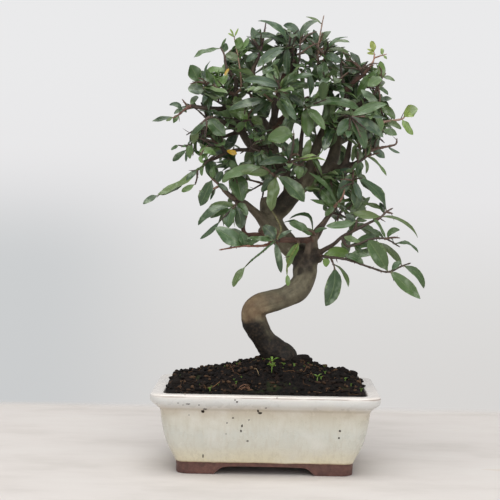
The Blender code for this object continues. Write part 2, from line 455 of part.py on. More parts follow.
def tube(points, radii, sides):
    """Vertices and faces of a closed tube along the points, its rings carried without twist."""
    count = len(points)
    tangents = []
    for i in range(count):
        tangents.append((points[min(i + 1, count - 1)] - points[max(i - 1, 0)]).normalized())
    side = tangents[0].orthogonal().normalized()
    vertices = []
    for i in range(count):
        side = (side - tangents[i] * side.dot(tangents[i])).normalized()
        over = tangents[i].cross(side)
        for k in range(sides):
            angle = 2 * math.pi * k / sides
            vertices.append(points[i] + (side * math.cos(angle) + over * math.sin(angle)) * radii[i])
    faces = [tuple(reversed(range(sides)))]
    for i in range(count - 1):
        for k in range(sides):
            a = i * sides + k
            b = i * sides + (k + 1) % sides
            faces.append((a, b, b + sides, a + sides))
    faces.append(tuple(range((count - 1) * sides, count * sides)))
    return vertices, faces


def blade(leaf, start=0.0, swell=0.0):
    """Vertices and faces of one leaf: a thin blade folded along its midrib, bowed as it grew."""
    length = (leaf.tip - leaf.base).length
    stations = LONG_STATIONS if length > LONG_BLADE else SHORT_STATIONS
    half = leaf.width / 2 + swell
    thick = BLADE_THICKNESS / 2 + swell

    def middle(t):
        return leaf.base + (leaf.tip - leaf.base) * t + leaf.bulge * (4 * t * (1 - t))

    sink = (leaf.base - leaf.tip).normalized() * ROOT_SINK if start == 0 else Vector()
    vertices = [middle(start) + sink]
    for t, share in stations:
        t = max(t, start + 0.1)
        along = (middle(t + 0.05) - middle(t - 0.05)).normalized()
        normal = (leaf.normal - along * leaf.normal.dot(along)).normalized()
        across = normal.cross(along)
        centre = middle(t)
        lift = normal * (half * share * BLADE_FOLD + swell)
        vertices.append(centre + across * (half * share) + lift)
        vertices.append(centre - across * (half * share) + lift)
        vertices.append(centre - normal * thick)
    vertices.append(middle(1.0))
    last = len(vertices) - 1
    faces = []
    for k in range(3):
        n = (k + 1) % 3
        faces.append((0, 1 + n, 1 + k))
        faces.append((last, last - 3 + k, last - 3 + n))
    for row in range(len(stations) - 1):
        for k in range(3):
            n = (k + 1) % 3
            a = 1 + row * 3
            faces.append((a + k, a + n, a + 3 + n))
            faces.append((a + k, a + 3 + n, a + 3 + k))
    return vertices, faces


def tree_of(mesh):
    """A search tree of a mesh's triangles and polygons, to test what it touches."""
    vertices, faces = mesh
    return BVHTree.FromPolygons(vertices, faces)


def limb_paths():
    """Name, number of sides, centre line and radii of each limb."""
    paths = []
    for name, sides, stations in LIMBS:
        points = [seen(u, v, d) for u, v, d, _ in stations]
        radii = [w * STEP / 2 for _, _, _, w in stations]
        paths.append((name, sides, points, radii))
    return paths


def nearest_on(points, place):
    """The point of a twig's line nearest to a place in the front view, short of the twig's end."""
    best = None
    last = points[-1] + (points[-2] - points[-1]).normalized() * TWIG_END
    for a, b in zip(points[:-1], points[1:-1] + [last]):
        for k in range(9):
            point = a.lerp(b, k / 8)
            u, v = shown(point)
            gap = (u - place[0]) ** 2 + (v - place[1]) ** 2
            if best is None or gap < best[0]:
                best = (gap, point)
    return best[1]


def nearest_axis(limbs, place):
    """The point on the limbs' centre lines nearest to a place."""
    best = None
    for _, _, points, _ in limbs:
        for a, b in zip(points, points[1:]):
            for k in range(9):
                point = a.lerp(b, k / 8)
                gap = (point - place).length
                if best is None or gap < best[0]:
                    best = (gap, point)
    return best[1]


def bark_spot(path, limbs, wood):
    """Where a twig that starts at the path's head leaves the bark, and its way into the limb."""
    inward = (nearest_axis(limbs, path[0]) - path[1]).normalized()
    hits = [tree.ray_cast(path[1], inward) for tree in wood]
    spot, _, _, _ = min((hit for hit in hits if hit[0] is not None), key=lambda hit: hit[3])
    return spot, inward


def clear_way(path, radii, wood, grown):
    """Whether a twig keeps its seat gap to the bark and clears the twigs of other sprays."""
    behind = path[0] + (path[0] - path[1]).normalized() * SEAT_GAP
    guard = tree_of(tube([behind] + path[1:], [r + SEAT_GAP for r in radii], TWIG_SIDES))
    return not any(guard.overlap(tree) for tree in wood + grown)


def fan(name, start):
    """Routes of a fan of twigs by rule: one outward from a branch's end, and three that fork off it."""
    chance = random.Random(name + " fan")
    root = seen(*start)
    out = (root - seen(*CANOPY_MIDDLE)).normalized() + Vector((0, 0, 0.3))
    out.normalize()
    side = out.orthogonal().normalized()
    over = out.cross(side)
    turn = chance.uniform(0, 2 * math.pi)
    fork = root + out * FAN_FORK
    lines = [[root, fork, root + (out + side * chance.uniform(-0.3, 0.3)) * FAN_REACH]]
    for k in range(3):
        angle = turn + 2 * math.pi * k / 3 + chance.uniform(-0.3, 0.3)
        aim = out * 0.55 + side * math.cos(angle) + over * math.sin(angle)
        lines.append([fork + out * (0.0012 * k), fork + aim * (FAN_REACH * chance.uniform(0.6, 0.8))])
    return [[(*shown(p), (p.y - POT_MIDDLE.y) / MM) for p in line] for line in lines]


def twigs_of(name, routes, limbs, wood, grown):
    """The spray's twigs, moved along the sight line until they clear what is there."""
    twigs = []
    others = [tree for owner, tree in grown if owner != name]
    if len(routes[0]) == 1:
        routes = fan(name, routes[0][0])
    for index, route in enumerate(routes):
        thick = TWIG_RADIUS if index == 0 else FORK_RADIUS
        radii = [thick + (TIP_RADIUS - thick) * i / (len(route) - 1) for i in range(len(route))]
        path = None
        for shift in TWIG_SHIFTS:
            trial = [seen(*route[0])] + [seen(u, v, d + shift) for u, v, d in route[1:]]
            if index == 0:
                spot, inward = bark_spot(trial, limbs, wood)
                starts = [spot - inward * (SEAT_STEP * k) for k in range(1, SEAT_TRIALS + 1)]
            else:
                starts = [nearest_on(twigs[0].points, route[0][:2])]
            ways = [[start] + trial[1:] for start in starts]
            path = next((way for way in ways if clear_way(way, radii, wood, others)), None)
            if path:
                break
        if path is None:
            print(f"twig {index} of {name} found no clear way")
            continue
        twigs.append(Twig(path, radii))
        grown.append((name, tree_of(tube(path, [r + CLEARANCE for r in radii], 6))))
    return twigs


def drawn_leaf(row, twigs, shift, chance):
    """A leaf that the front view shows, turned so that it shows at its width."""
    bu, bv, tu, tv, seen_width, bow = row
    roots = [nearest_on(twig.points, (bu, bv)) for twig in twigs]
    base = min(roots, key=lambda root: math.dist(shown(root), (bu, bv)))
    depth = (base.y - POT_MIDDLE.y) / MM
    span = math.dist((bu, bv), (tu, tv))
    tip = seen(tu, tv, depth + span * STEP / MM * chance.uniform(-0.32, 0.18) + shift)
    length = (tip - base).length
    rise_u, rise_v = (tv - bv) / span, (bu - tu) / span
    steep = abs(tv - bv) > abs(tu - bu)
    if (steep and rise_u < 0) or (not steep and rise_v > 0):
        rise_u, rise_v = -rise_u, -rise_v
    middle = ((bu + tu) / 2 + rise_u * bow, (bv + tv) / 2 + rise_v * bow)
    mean_depth = ((base.y + tip.y) / 2 - POT_MIDDLE.y) / MM
    bulge = seen(middle[0], middle[1], mean_depth) - (base + tip) / 2
    axis = (tip - base).normalized()
    facing = EYE + POT_MIDDLE - (base + tip) / 2
    facing = (facing - axis * facing.dot(axis)).normalized()
    showing = seen_width * STEP
    width = max(showing * 1.06, 0.23 * length if showing > 0.1 * length else 0.15 * length)
    roll = math.acos(min(1.0, showing / width))
    turned = axis.cross(facing) * math.sin(roll)
    if turned.z < 0:
        turned = -turned
    normal = facing * math.cos(roll) + turned
    bulge += normal * (length * chance.uniform(0.01, 0.05))
    return Leaf(base, tip, bulge, normal, width)


def rule_leaf(index, twigs, chance):
    """A leaf set by rule: in pairs up the twig, out and up, its face to the light."""
    twig = twigs[index % len(twigs)]
    share = 0.3 + 0.64 * ((index // 2 * 0.37 + chance.uniform(0, 0.25)) % 1.0)
    place = share * (len(twig.points) - 1)
    at = min(int(place), len(twig.points) - 2)
    base = twig.points[at].lerp(twig.points[at + 1], place - at)
    along = (twig.points[at + 1] - twig.points[at]).normalized()
    outward = (base - seen(*CANOPY_MIDDLE)).normalized()
    side = along.orthogonal().normalized()
    over = along.cross(side)
    angle = index * 2.4 + chance.uniform(-0.5, 0.5) + math.pi * chance.randrange(2)
    spoke = side * math.cos(angle) + over * math.sin(angle)
    aim = along * 0.45 + spoke + outward * 0.45
    aim += Vector((0, 0, chance.uniform(-0.45, 0.3)))
    aim.normalize()
    length = chance.uniform(*RULE_LENGTHS)
    width = length * chance.uniform(*RULE_WIDTHS)
    facing = Vector((chance.uniform(-0.5, 0.5), chance.uniform(-0.5, 0.5), 0.9)) + outward * 0.8
    normal = (facing - aim * facing.dot(aim)).normalized()
    bulge = normal * (length * chance.uniform(0.02, 0.09))
    return Leaf(base, base + aim * length, bulge, normal, width)


def inside_canopy(leaf):
    """Whether a leaf keeps within the canopy's outline and off its gaps in the front view."""
    for t in (0.35, 0.6, 0.85, 1.0):
        u, v = shown(leaf.base.lerp(leaf.tip, t))
        if any((u - gu) ** 2 + (v - gv) ** 2 < (r + 2) ** 2 for gu, gv, r in GAPS):
            return False
        inside = False
        for (au, av), (bu, bv) in zip(CANOPY, CANOPY[1:] + CANOPY[:1]):
            if (av > v) != (bv > v) and u < au + (v - av) * (bu - au) / (bv - av):
                inside = not inside
        if not inside:
            return False
    return True


def cell_of(place):
    """The small square of the front view that a place shows in."""
    u, v = shown(place)
    return int(u // COVER_CELL), int(v // COVER_CELL)


def kept_in_sight(limbs, leaves):
    """How near each square of the front view shows a drawn leaf or bare wood."""
    cells = {}

    def note(place):
        cell = cell_of(place)
        cells[cell] = min(place.y, cells.get(cell, place.y))

    for found in leaves.values():
        for leaf in found:
            across = leaf.normal.cross(leaf.tip - leaf.base).normalized() * leaf.width
            for k in range(2, 11):
                for side in (-0.35, 0.0, 0.35):
                    bow = leaf.bulge * (0.04 * k * (10 - k))
                    note(leaf.base.lerp(leaf.tip, k / 10) + bow + across * side)
    paths = {name: points for name, _, points, _ in limbs}
    for name, top, bottom in BARE_WOOD:
        for a, b in zip(paths[name], paths[name][1:]):
            for k in range(9):
                place = a.lerp(b, k / 8)
                if top <= shown(place)[1] <= bottom:
                    note(place)
    return cells


def hides(leaf, cells):
    """Whether a leaf would stand in front of what the front view keeps in sight."""
    across = leaf.normal.cross(leaf.tip - leaf.base).normalized() * leaf.width
    for t in (0.3, 0.5, 0.7, 0.85, 1.0):
        for side in (-0.3, 0.3):
            place = leaf.base.lerp(leaf.tip, t) + across * side
            if place.y < cells.get(cell_of(place), -1.0):
                return True
    return False


def clear_of(leaf, name, wood, grown, placed):
    """Whether a leaf keeps clear of the wood, of other sprays, and of its own spray's blades."""
    whole = tree_of(blade(leaf, 0.0, CLEARANCE))
    outer = tree_of(blade(leaf, 0.25, CLEARANCE))
    middle = (leaf.base + leaf.tip) / 2
    reach = (leaf.tip - leaf.base).length / 2
    if any(whole.overlap(tree) for tree in wood):
        return False
    for owner, tree in grown:
        if owner != name and whole.overlap(tree):
            return False
    for owner, other_middle, other_reach, full, far in placed:
        if (middle - other_middle).length > reach + other_reach + NEAR_LEAVES:
            continue
        if owner == name:
            if outer.overlap(far):
                return False
        elif whole.overlap(full):
            return False
    placed.append((name, middle, reach, tree_of(blade(leaf)), tree_of(blade(leaf, 0.25))))
    return True


def grow():
    """The limbs, and each spray's twigs and leaves, every leaf clear of what grew before it."""
    limbs = limb_paths()
    wood = [tree_of(tube(points, radii, sides)) for _, sides, points, radii in limbs]
    grown = []
    twigs = {}
    for name, routes, _, _ in SPRAYS:
        twigs[name] = twigs_of(name, routes, limbs, wood, grown)
    placed = []
    leaves = {name: [] for name, _, _, _ in SPRAYS}
    for name, _, rows, _ in SPRAYS:
        for index, row in enumerate(rows):
            for shift in LEAF_SHIFTS:
                leaf = drawn_leaf(row, twigs[name], shift, random.Random(f"{name} {index}"))
                if clear_of(leaf, name, wood, grown, placed):
                    leaves[name].append(leaf)
                    break
            else:
                print(f"leaf {index} of {name} found no clear place")
    cells = kept_in_sight(limbs, leaves)
    for name, _, _, count in SPRAYS:
        for index in range(count):
            chance = random.Random(f"{name} rule {index}")
            for _ in range(RULE_TRIALS):
                leaf = rule_leaf(index, twigs[name], chance)
                if not inside_canopy(leaf) or hides(leaf, cells):
                    continue
                if clear_of(leaf, name, wood, grown, placed):
                    leaves[name].append(leaf)
                    break
    return limbs, twigs, leaves


def material(name, colour, roughness, metallic=0.0):
    """A plain material with the colour and gloss of the part."""
    made = bpy.data.materials.new(name)
    made.use_nodes = True
    shader = made.node_tree.nodes["Principled BSDF"]
    shader.inputs["Base Color"].default_value = (*colour, 1.0)
    shader.inputs["Roughness"].default_value = roughness
    shader.inputs["Metallic"].default_value = metallic
    return made


def new_object(name, mesh_data, collection=None):
    """An object from vertices and faces, in the scene or in a collection of its own."""
    vertices, faces = mesh_data
    mesh = bpy.data.meshes.new(name)
    mesh.from_pydata([tuple(v) for v in vertices], [], faces)
    mesh.validate()
    made = bpy.data.objects.new(name, mesh)
    (collection or bpy.context.scene.collection).objects.link(made)
    return made


def finish(made, look, smooth_below=None):
    """Gives an object its material and, where it is round, smooth shading."""
    made.data.materials.clear()
    made.data.materials.append(look)
    if smooth_below:
        made.data.shade_smooth()
        made.data.set_sharp_from_angle(angle=math.radians(smooth_below))
    return made


def apply_boolean(target, operation, solver="EXACT", tool=None, group=None):
    """Joins or cuts a target with one object or with all of a collection, and applies it."""
    modifier = target.modifiers.new(operation.lower(), "BOOLEAN")
    modifier.operation = operation
    modifier.solver = solver
    if group:
        modifier.operand_type = "COLLECTION"
        modifier.collection = group
    else:
        modifier.object = tool
    bpy.context.view_layer.update()
    graph = bpy.context.evaluated_depsgraph_get()
    result = bpy.data.meshes.new_from_object(target.evaluated_get(graph))
    target.modifiers.remove(modifier)
    target.data = result


def fused(name, pieces, solver="EXACT"):
    """One object, the Boolean union of several closed meshes that overlap where they meet."""
    body = new_object(name, pieces[0])
    group = bpy.data.collections.new(name + " repeats")
    bpy.context.scene.collection.children.link(group)
    for index, piece in enumerate(pieces[1:]):
        new_object(f"{name} repeat {index}", piece, group)
    if len(pieces) > 1:
        apply_boolean(body, "UNION", solver, group=group)
    for helper in list(group.objects):
        bpy.data.objects.remove(helper)
    bpy.data.collections.remove(group)
    return body


def rounded_ring(inset, height, radius, corner_steps=3, side_steps=(1, 1)):
    """A rounded rectangle, so far in from the lip's edge, as points round the pot."""
    half_x = POT_LENGTH / 2 - inset
    half_y = POT_DEPTH / 2 - inset
    ring = []
    for quarter, (sx, sy) in enumerate([(1, 1), (-1, 1), (-1, -1), (1, -1)]):
        centre = Vector((sx * (half_x - radius), sy * (half_y - radius), height))
        for k in range(corner_steps + 1):
            angle = math.pi / 2 * (quarter + k / corner_steps)
            ring.append(centre + Vector((math.cos(angle), math.sin(angle), 0)) * radius + POT_MIDDLE)
        steps = side_steps[quarter % 2]
        run = 2 * ((half_x, half_y)[quarter % 2] - radius)
        for k in range(1, steps):
            angle = math.pi / 2 * (quarter + 2)
            way = Vector((math.cos(angle), math.sin(angle), 0))
            ring.append(ring[-k] + way * (run * k / steps))
    return ring


def loft(rings):
    """A closed skin over rings of equal count, capped at both ends."""
    count = len(rings[0])
    vertices = [point for ring in rings for point in ring]
    faces = [tuple(reversed(range(count)))]
    for i in range(len(rings) - 1):
        for k in range(count):
            a = i * count + k
            b = i * count + (k + 1) % count
            faces.append((a, b, b + count, a + count))
    faces.append(tuple(range((len(rings) - 1) * count, len(rings) * count)))
    return vertices, faces


def arch_cutter(name, arch, along_y):
    """A bar of arch section that cuts the way between two feet, right through under the pot."""
    foot, shoulder, crown, top = arch
    half = [(foot, BELOW), (foot, 0.0), (shoulder, ARCH_SHOULDER), (crown, top)]
    outline = half + [(-x, z) for x, z in reversed(half)]
    rings = []
    for end in (-POT_LENGTH, POT_LENGTH):
        if along_y:
            rings.append([Vector((x, end, z)) + POT_MIDDLE for x, z in outline])
        else:
            rings.append([Vector((end, x, z)) + POT_MIDDLE for x, z in outline])
    if not along_y:
        rings.reverse()
    return new_object(name, loft(list(reversed(rings))))


def build_pot(look):
    """The glazed pot: one fired piece with feet, arches, a hollow underside and drain holes."""
    rings = []
    for inset, height in POT_OUTSIDE:
        rings.append(rounded_ring(inset, height, CORNER_RADIUS - inset * CORNER_TAPER))
    for inset, height in POT_INSIDE:
        rings.append(rounded_ring(inset, height, CORNER_RADIUS * INSIDE_CORNER))
    pot = new_object("pot", loft(rings))
    hollow_inset = POT_OUTSIDE[0][0] + FOOT_RING
    hollow = [rounded_ring(hollow_inset, z, HOLLOW_CORNER, 2) for z in (BELOW, UNDERSIDE)]
    cutters = [new_object("underside", loft(hollow))]
    cutters.append(arch_cutter("long arch", LONG_ARCH, True))
    cutters.append(arch_cutter("short arch", SHORT_ARCH, False))
    for side in (-1, 1):
        ends = [POT_MIDDLE + Vector((side * DRAIN_SPREAD, 0, z)) for z in (UNDERSIDE / 2, FLOOR_TOP * 1.5)]
        cutters.append(new_object("drain", tube(ends, [DRAIN_RADIUS] * 2, 16)))
    for cutter in cutters:
        apply_boolean(pot, "DIFFERENCE", tool=cutter)
        bpy.data.objects.remove(cutter)
    return finish(pot, look, SMOOTH_POT)


def soil_height(x, y):
    """The soil's surface over a place given from the pot's middle."""
    ridge = SOIL_RIDGE[0][1]
    for (ax, az), (bx, bz) in zip(SOIL_RIDGE, SOIL_RIDGE[1:]):
        if x >= ax:
            ridge = az + (bz - az) * min(1.0, (x - ax) / (bx - ax))
    half = POT_DEPTH / 2 - LIP_WIDTH
    fall = min(1.0, abs(y) / half)
    return SOIL_EDGE + (ridge - SOIL_EDGE) * (1 - fall ** SOIL_FALL)


def on_soil(across, down):
    """Where the sight line first meets the soil's front slope."""
    depth = -50.0
    while depth < 0:
        place = seen(across, down, depth)
        if place.z < soil_height(place.x - POT_MIDDLE.x, place.y - POT_MIDDLE.y):
            break
        depth += 0.5
    return place


def build_soil(look, limbs, seedlings):
    """The soil: it fills the pot and mounds up to the trunk, with plain holes for what stands in it."""
    def ring_at(inset, height):
        return rounded_ring(inset + CLEARANCE, height, CORNER_RADIUS * SOIL_CORNER, 2, SOIL_STEPS)

    edge = ring_at(LIP_WIDTH + 0.0004, SOIL_EDGE)
    apex = seen(*SOIL_APEX)
    chance = random.Random("soil")
    rings = [ring_at(POT_INSIDE[3][0], FLOOR_TOP + SEAT_GAP), ring_at(*POT_INSIDE[2])]
    rings.append([Vector((p.x, p.y, SOIL_EDGE - SOIL_ROUGH)) for p in edge])
    for share in SOIL_SHARES:
        ring = []
        for point in edge:
            x = apex.x + (point.x - apex.x) * share
            y = apex.y + (point.y - apex.y) * share
            height = soil_height(x - POT_MIDDLE.x, y - POT_MIDDLE.y)
            ring.append(Vector((x, y, height + chance.uniform(-SOIL_ROUGH, SOIL_ROUGH))))
        rings.append(ring)
    top = soil_height(apex.x - POT_MIDDLE.x, 0)
    rings.append([Vector((*apex.xy.lerp(point.xy, SOIL_CORE), top)) for point in edge])
    soil = new_object("soil", loft(rings))
    _, sides, points, radii = limbs[0]
    stump = [(p, r + STUMP_CLEARANCE) for p, r in zip(points, radii) if p.z < apex.z + STUMP_RISE]
    down = (points[0] - points[1]).normalized()
    stump.insert(0, (stump[0][0] + down * CLEARANCE, stump[0][1]))
    cutters = [new_object("root hole", tube([p for p, _ in stump], [r for _, r in stump], sides))]
    for _, foot, _, radius in seedlings:
        ends = [foot - Vector((0, 0, STEM_ROOT + CLEARANCE)), foot + Vector((0, 0, STEM_ROOT))]
        cutters.append(new_object("stem hole", tube(ends, [radius + CLEARANCE] * 2, 8)))
    for cutter in cutters:
        apply_boolean(soil, "DIFFERENCE", tool=cutter)
        bpy.data.objects.remove(cutter)
    return finish(soil, look)


def build_seedling(name, foot, height, leaves, radius, look):
    """A weed: a short stem that stands in its hole, and a few leaves on it."""
    top = foot + Vector((0, 0, height))
    pieces = [tube([foot - Vector((0, 0, STEM_ROOT)), foot, top], [radius, radius, radius * 0.8], 5)]
    for turn, reach, rise, width in leaves:
        angle = math.radians(turn)
        tip = top + Vector((math.cos(angle) * reach, math.sin(angle) * reach, rise))
        start = top - Vector((0, 0, radius))
        pieces.append(blade(Leaf(start, tip, Vector((0, 0, rise * 0.3)), Vector((0, 0, 1)), width)))
    return finish(fused(name, pieces), look)


def main():
    for old in list(bpy.data.objects):
        bpy.data.objects.remove(old)
    glaze = material("cream glaze", (0.64, 0.62, 0.54), 0.25)
    earth = material("dark soil", (0.018, 0.015, 0.012), 0.95)
    bark = material("grey brown bark", (0.15, 0.12, 0.09), 0.8)
    green = material("glossy green leaf", (0.05, 0.11, 0.04), 0.4)
    weed = material("fresh green weed", (0.12, 0.25, 0.05), 0.5)

    limbs, twigs, leaves = grow()
    seedlings = [(name, on_soil(*foot), height, STEM_RADIUS) for name, foot, height, _ in SEEDLINGS]
    build_pot(glaze)
    build_soil(earth, limbs, seedlings)
    wood = [tube(points, radii, sides) for _, sides, points, radii in limbs]
    finish(fused("trunk", wood), bark, SMOOTH_BARK)
    for name, _, _, _ in SPRAYS:
        pieces = [tube(twig.points, twig.radii, TWIG_SIDES) for twig in twigs[name]]
        pieces += [blade(leaf) for leaf in leaves[name]]
        finish(fused("spray_" + name, pieces), green)
    for (name, foot, height, radius), (_, _, _, rows) in zip(seedlings, SEEDLINGS):
        build_seedling(name, foot, height, rows, radius, weed)
    print(sum(len(found) for found in leaves.values()), "leaves")


main()
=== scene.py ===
import math
import random
from collections import namedtuple

import bpy
import numpy as np
from mathutils import Matrix, Vector, noise
from mathutils.bvhtree import BVHTree
from mathutils.kdtree import KDTree


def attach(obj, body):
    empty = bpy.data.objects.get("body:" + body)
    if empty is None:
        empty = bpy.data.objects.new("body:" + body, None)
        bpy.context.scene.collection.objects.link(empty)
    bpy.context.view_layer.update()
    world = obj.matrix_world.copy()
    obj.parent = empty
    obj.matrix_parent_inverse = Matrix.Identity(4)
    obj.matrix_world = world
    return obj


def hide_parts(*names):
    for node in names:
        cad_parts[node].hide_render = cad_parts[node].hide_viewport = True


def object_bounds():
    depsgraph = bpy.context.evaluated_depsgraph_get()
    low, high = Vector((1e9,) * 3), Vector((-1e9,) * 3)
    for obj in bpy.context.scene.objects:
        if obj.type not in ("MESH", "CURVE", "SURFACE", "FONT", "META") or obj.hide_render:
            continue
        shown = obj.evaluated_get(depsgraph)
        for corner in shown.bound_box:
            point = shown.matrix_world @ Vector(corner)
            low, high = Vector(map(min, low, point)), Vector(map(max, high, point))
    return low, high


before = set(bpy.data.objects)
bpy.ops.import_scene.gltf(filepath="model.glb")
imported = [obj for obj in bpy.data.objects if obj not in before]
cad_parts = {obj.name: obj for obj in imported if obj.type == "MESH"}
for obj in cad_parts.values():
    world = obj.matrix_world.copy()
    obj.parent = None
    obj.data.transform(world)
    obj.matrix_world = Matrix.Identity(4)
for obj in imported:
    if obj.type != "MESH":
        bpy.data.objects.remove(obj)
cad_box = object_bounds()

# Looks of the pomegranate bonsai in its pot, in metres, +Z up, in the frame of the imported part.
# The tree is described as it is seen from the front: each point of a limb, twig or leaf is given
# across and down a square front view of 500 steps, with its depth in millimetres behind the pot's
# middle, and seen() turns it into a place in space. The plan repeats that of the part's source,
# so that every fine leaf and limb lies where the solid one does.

# Driving dimensions of the pot, in metres
POT_LENGTH = 0.1576
POT_DEPTH = 0.118
POT_HEIGHT = 0.0567
POT_MIDDLE = Vector((-0.0112, -0.0097, 0.0))
CORNER_RADIUS = 0.011
LIP_WIDTH = 0.0092
FLOOR_TOP = 0.0125

UNDERSIDE = 0.0062
DRAIN_RADIUS = 0.006
DRAIN_SPREAD = 0.030
DRAIN_HEIGHTS = (0.001, 0.02)
DRAIN_SIDES = 40
BELOW = -0.002
INSIDE_CORNER = 0.62
CORNER_TAPER = 0.12
HOLLOW_CORNER = 0.004
POT_SHARP = math.radians(38)

# Half width lost from the lip's edge, and height, down the outside of the pot and then the inside
POT_OUTSIDE = [
    (0.0181, 0.0000), (0.0176, 0.0007), (0.0175, 0.0080), (0.0169, 0.0086), (0.0162, 0.0111),
    (0.0128, 0.0174), (0.0107, 0.0230), (0.0087, 0.0300), (0.0073, 0.0391), (0.0068, 0.0446),
    (0.0058, 0.0464), (0.0026, 0.0490), (0.0007, 0.0509), (0.0000, 0.0529), (0.0000, 0.0556),
    (0.0012, POT_HEIGHT)]
POT_INSIDE = [
    (LIP_WIDTH - 0.0008, POT_HEIGHT), (LIP_WIDTH, 0.0558), (0.0106, 0.0500), (0.0200, FLOOR_TOP)]

# Arches between the feet: half span at the table, at the shoulder and at the crown, and heights
ARCH_SHOULDER = 0.0038
LONG_ARCH = (0.0352, 0.0308, 0.0272, 0.0057)
SHORT_ARCH = (0.0190, 0.0168, 0.0140, 0.0052)
FOOT_RING = 0.0095

# The front view: where the eye is, how it is turned, and how many steps it spreads a tangent over
VIEW_MIDDLE = 250.0
VIEW_FOCUS = 1460.0
EYE = Vector((0.0022, -1.0385, 0.1925))
EYE_TURN = math.radians(0.83)
EYE_DIP = math.radians(2.17)
EYE_ROLL = math.radians(0.95)
STEP = 0.000711
MM = 0.001

# Clearances between pieces that grow or rest against each other, and the trials that find them
SEAT_GAP = 0.00025
SEAT_STEP = 0.0001
SEAT_TRIALS = 25
CLEARANCE = 0.00035
TWIG_SHIFTS = (0, -3, 3, -6, 6, -9, 9, -12, 12)
LEAF_SHIFTS = (0, -4, 4, -8, 8, -12, 12, -16, 16)
NEAR_LEAVES = 0.006
OUTER_BLADE = 0.25

# Steps that a search along a straight run takes
RUN_STEPS = 8

# Blades: thickness at the midrib, how far the edges fold up, and the stations along the blade
BLADE_THICKNESS = 0.0012
BLADE_FOLD = 0.22
LONG_BLADE = 0.0165
LONG_STATIONS = ((0.11, 0.2), (0.43, 1.0), (0.78, 0.75))
SHORT_STATIONS = ((0.2, 0.35), (0.6, 1.0))
ROOT_SINK = 0.0006

# Twigs: the bare end that no leaf grows from, sides and radii, and a fan's reach and fork
TWIG_END = 0.0009
TWIG_SIDES = 3
TWIG_RADIUS = 0.00125
FORK_RADIUS = 0.00095
TIP_RADIUS = 0.00055
FAN_REACH = 0.024
FAN_FORK = 0.006
FAN_RISE = Vector((0, 0, 0.3))
FAN_SWAY = 0.3
FAN_SPOKES = 3
FAN_OUT = 0.55
FAN_STEP = 0.0012
FAN_SHARE = (0.6, 0.8)

# Drawn leaves: how far in depth a tip may lie, least widths, and bulge, as shares of the length
TIP_DEPTHS = (-0.32, 0.18)
SEEN_TURN = 1.06
EDGE_ON = 0.1
BROAD_LEAF = 0.23
NARROW_LEAF = 0.15
DRAWN_BULGE = (0.01, 0.05)

# Leaves by rule: where pairs sit up the twig, their turn, lean and bulge, trials, lengths and widths
PAIR_FROM = 0.3
PAIR_SPAN = 0.64
PAIR_STEP = 0.37
SPIRAL = 2.4
RULE_LEAN = 0.45
RULE_BULGE = (0.02, 0.09)
RULE_TRIALS = 40
RULE_LENGTHS = (0.017, 0.029)
RULE_WIDTHS = (0.26, 0.35)

Leaf = namedtuple("Leaf", "base tip bulge normal width")
Twig = namedtuple("Twig", "points radii")

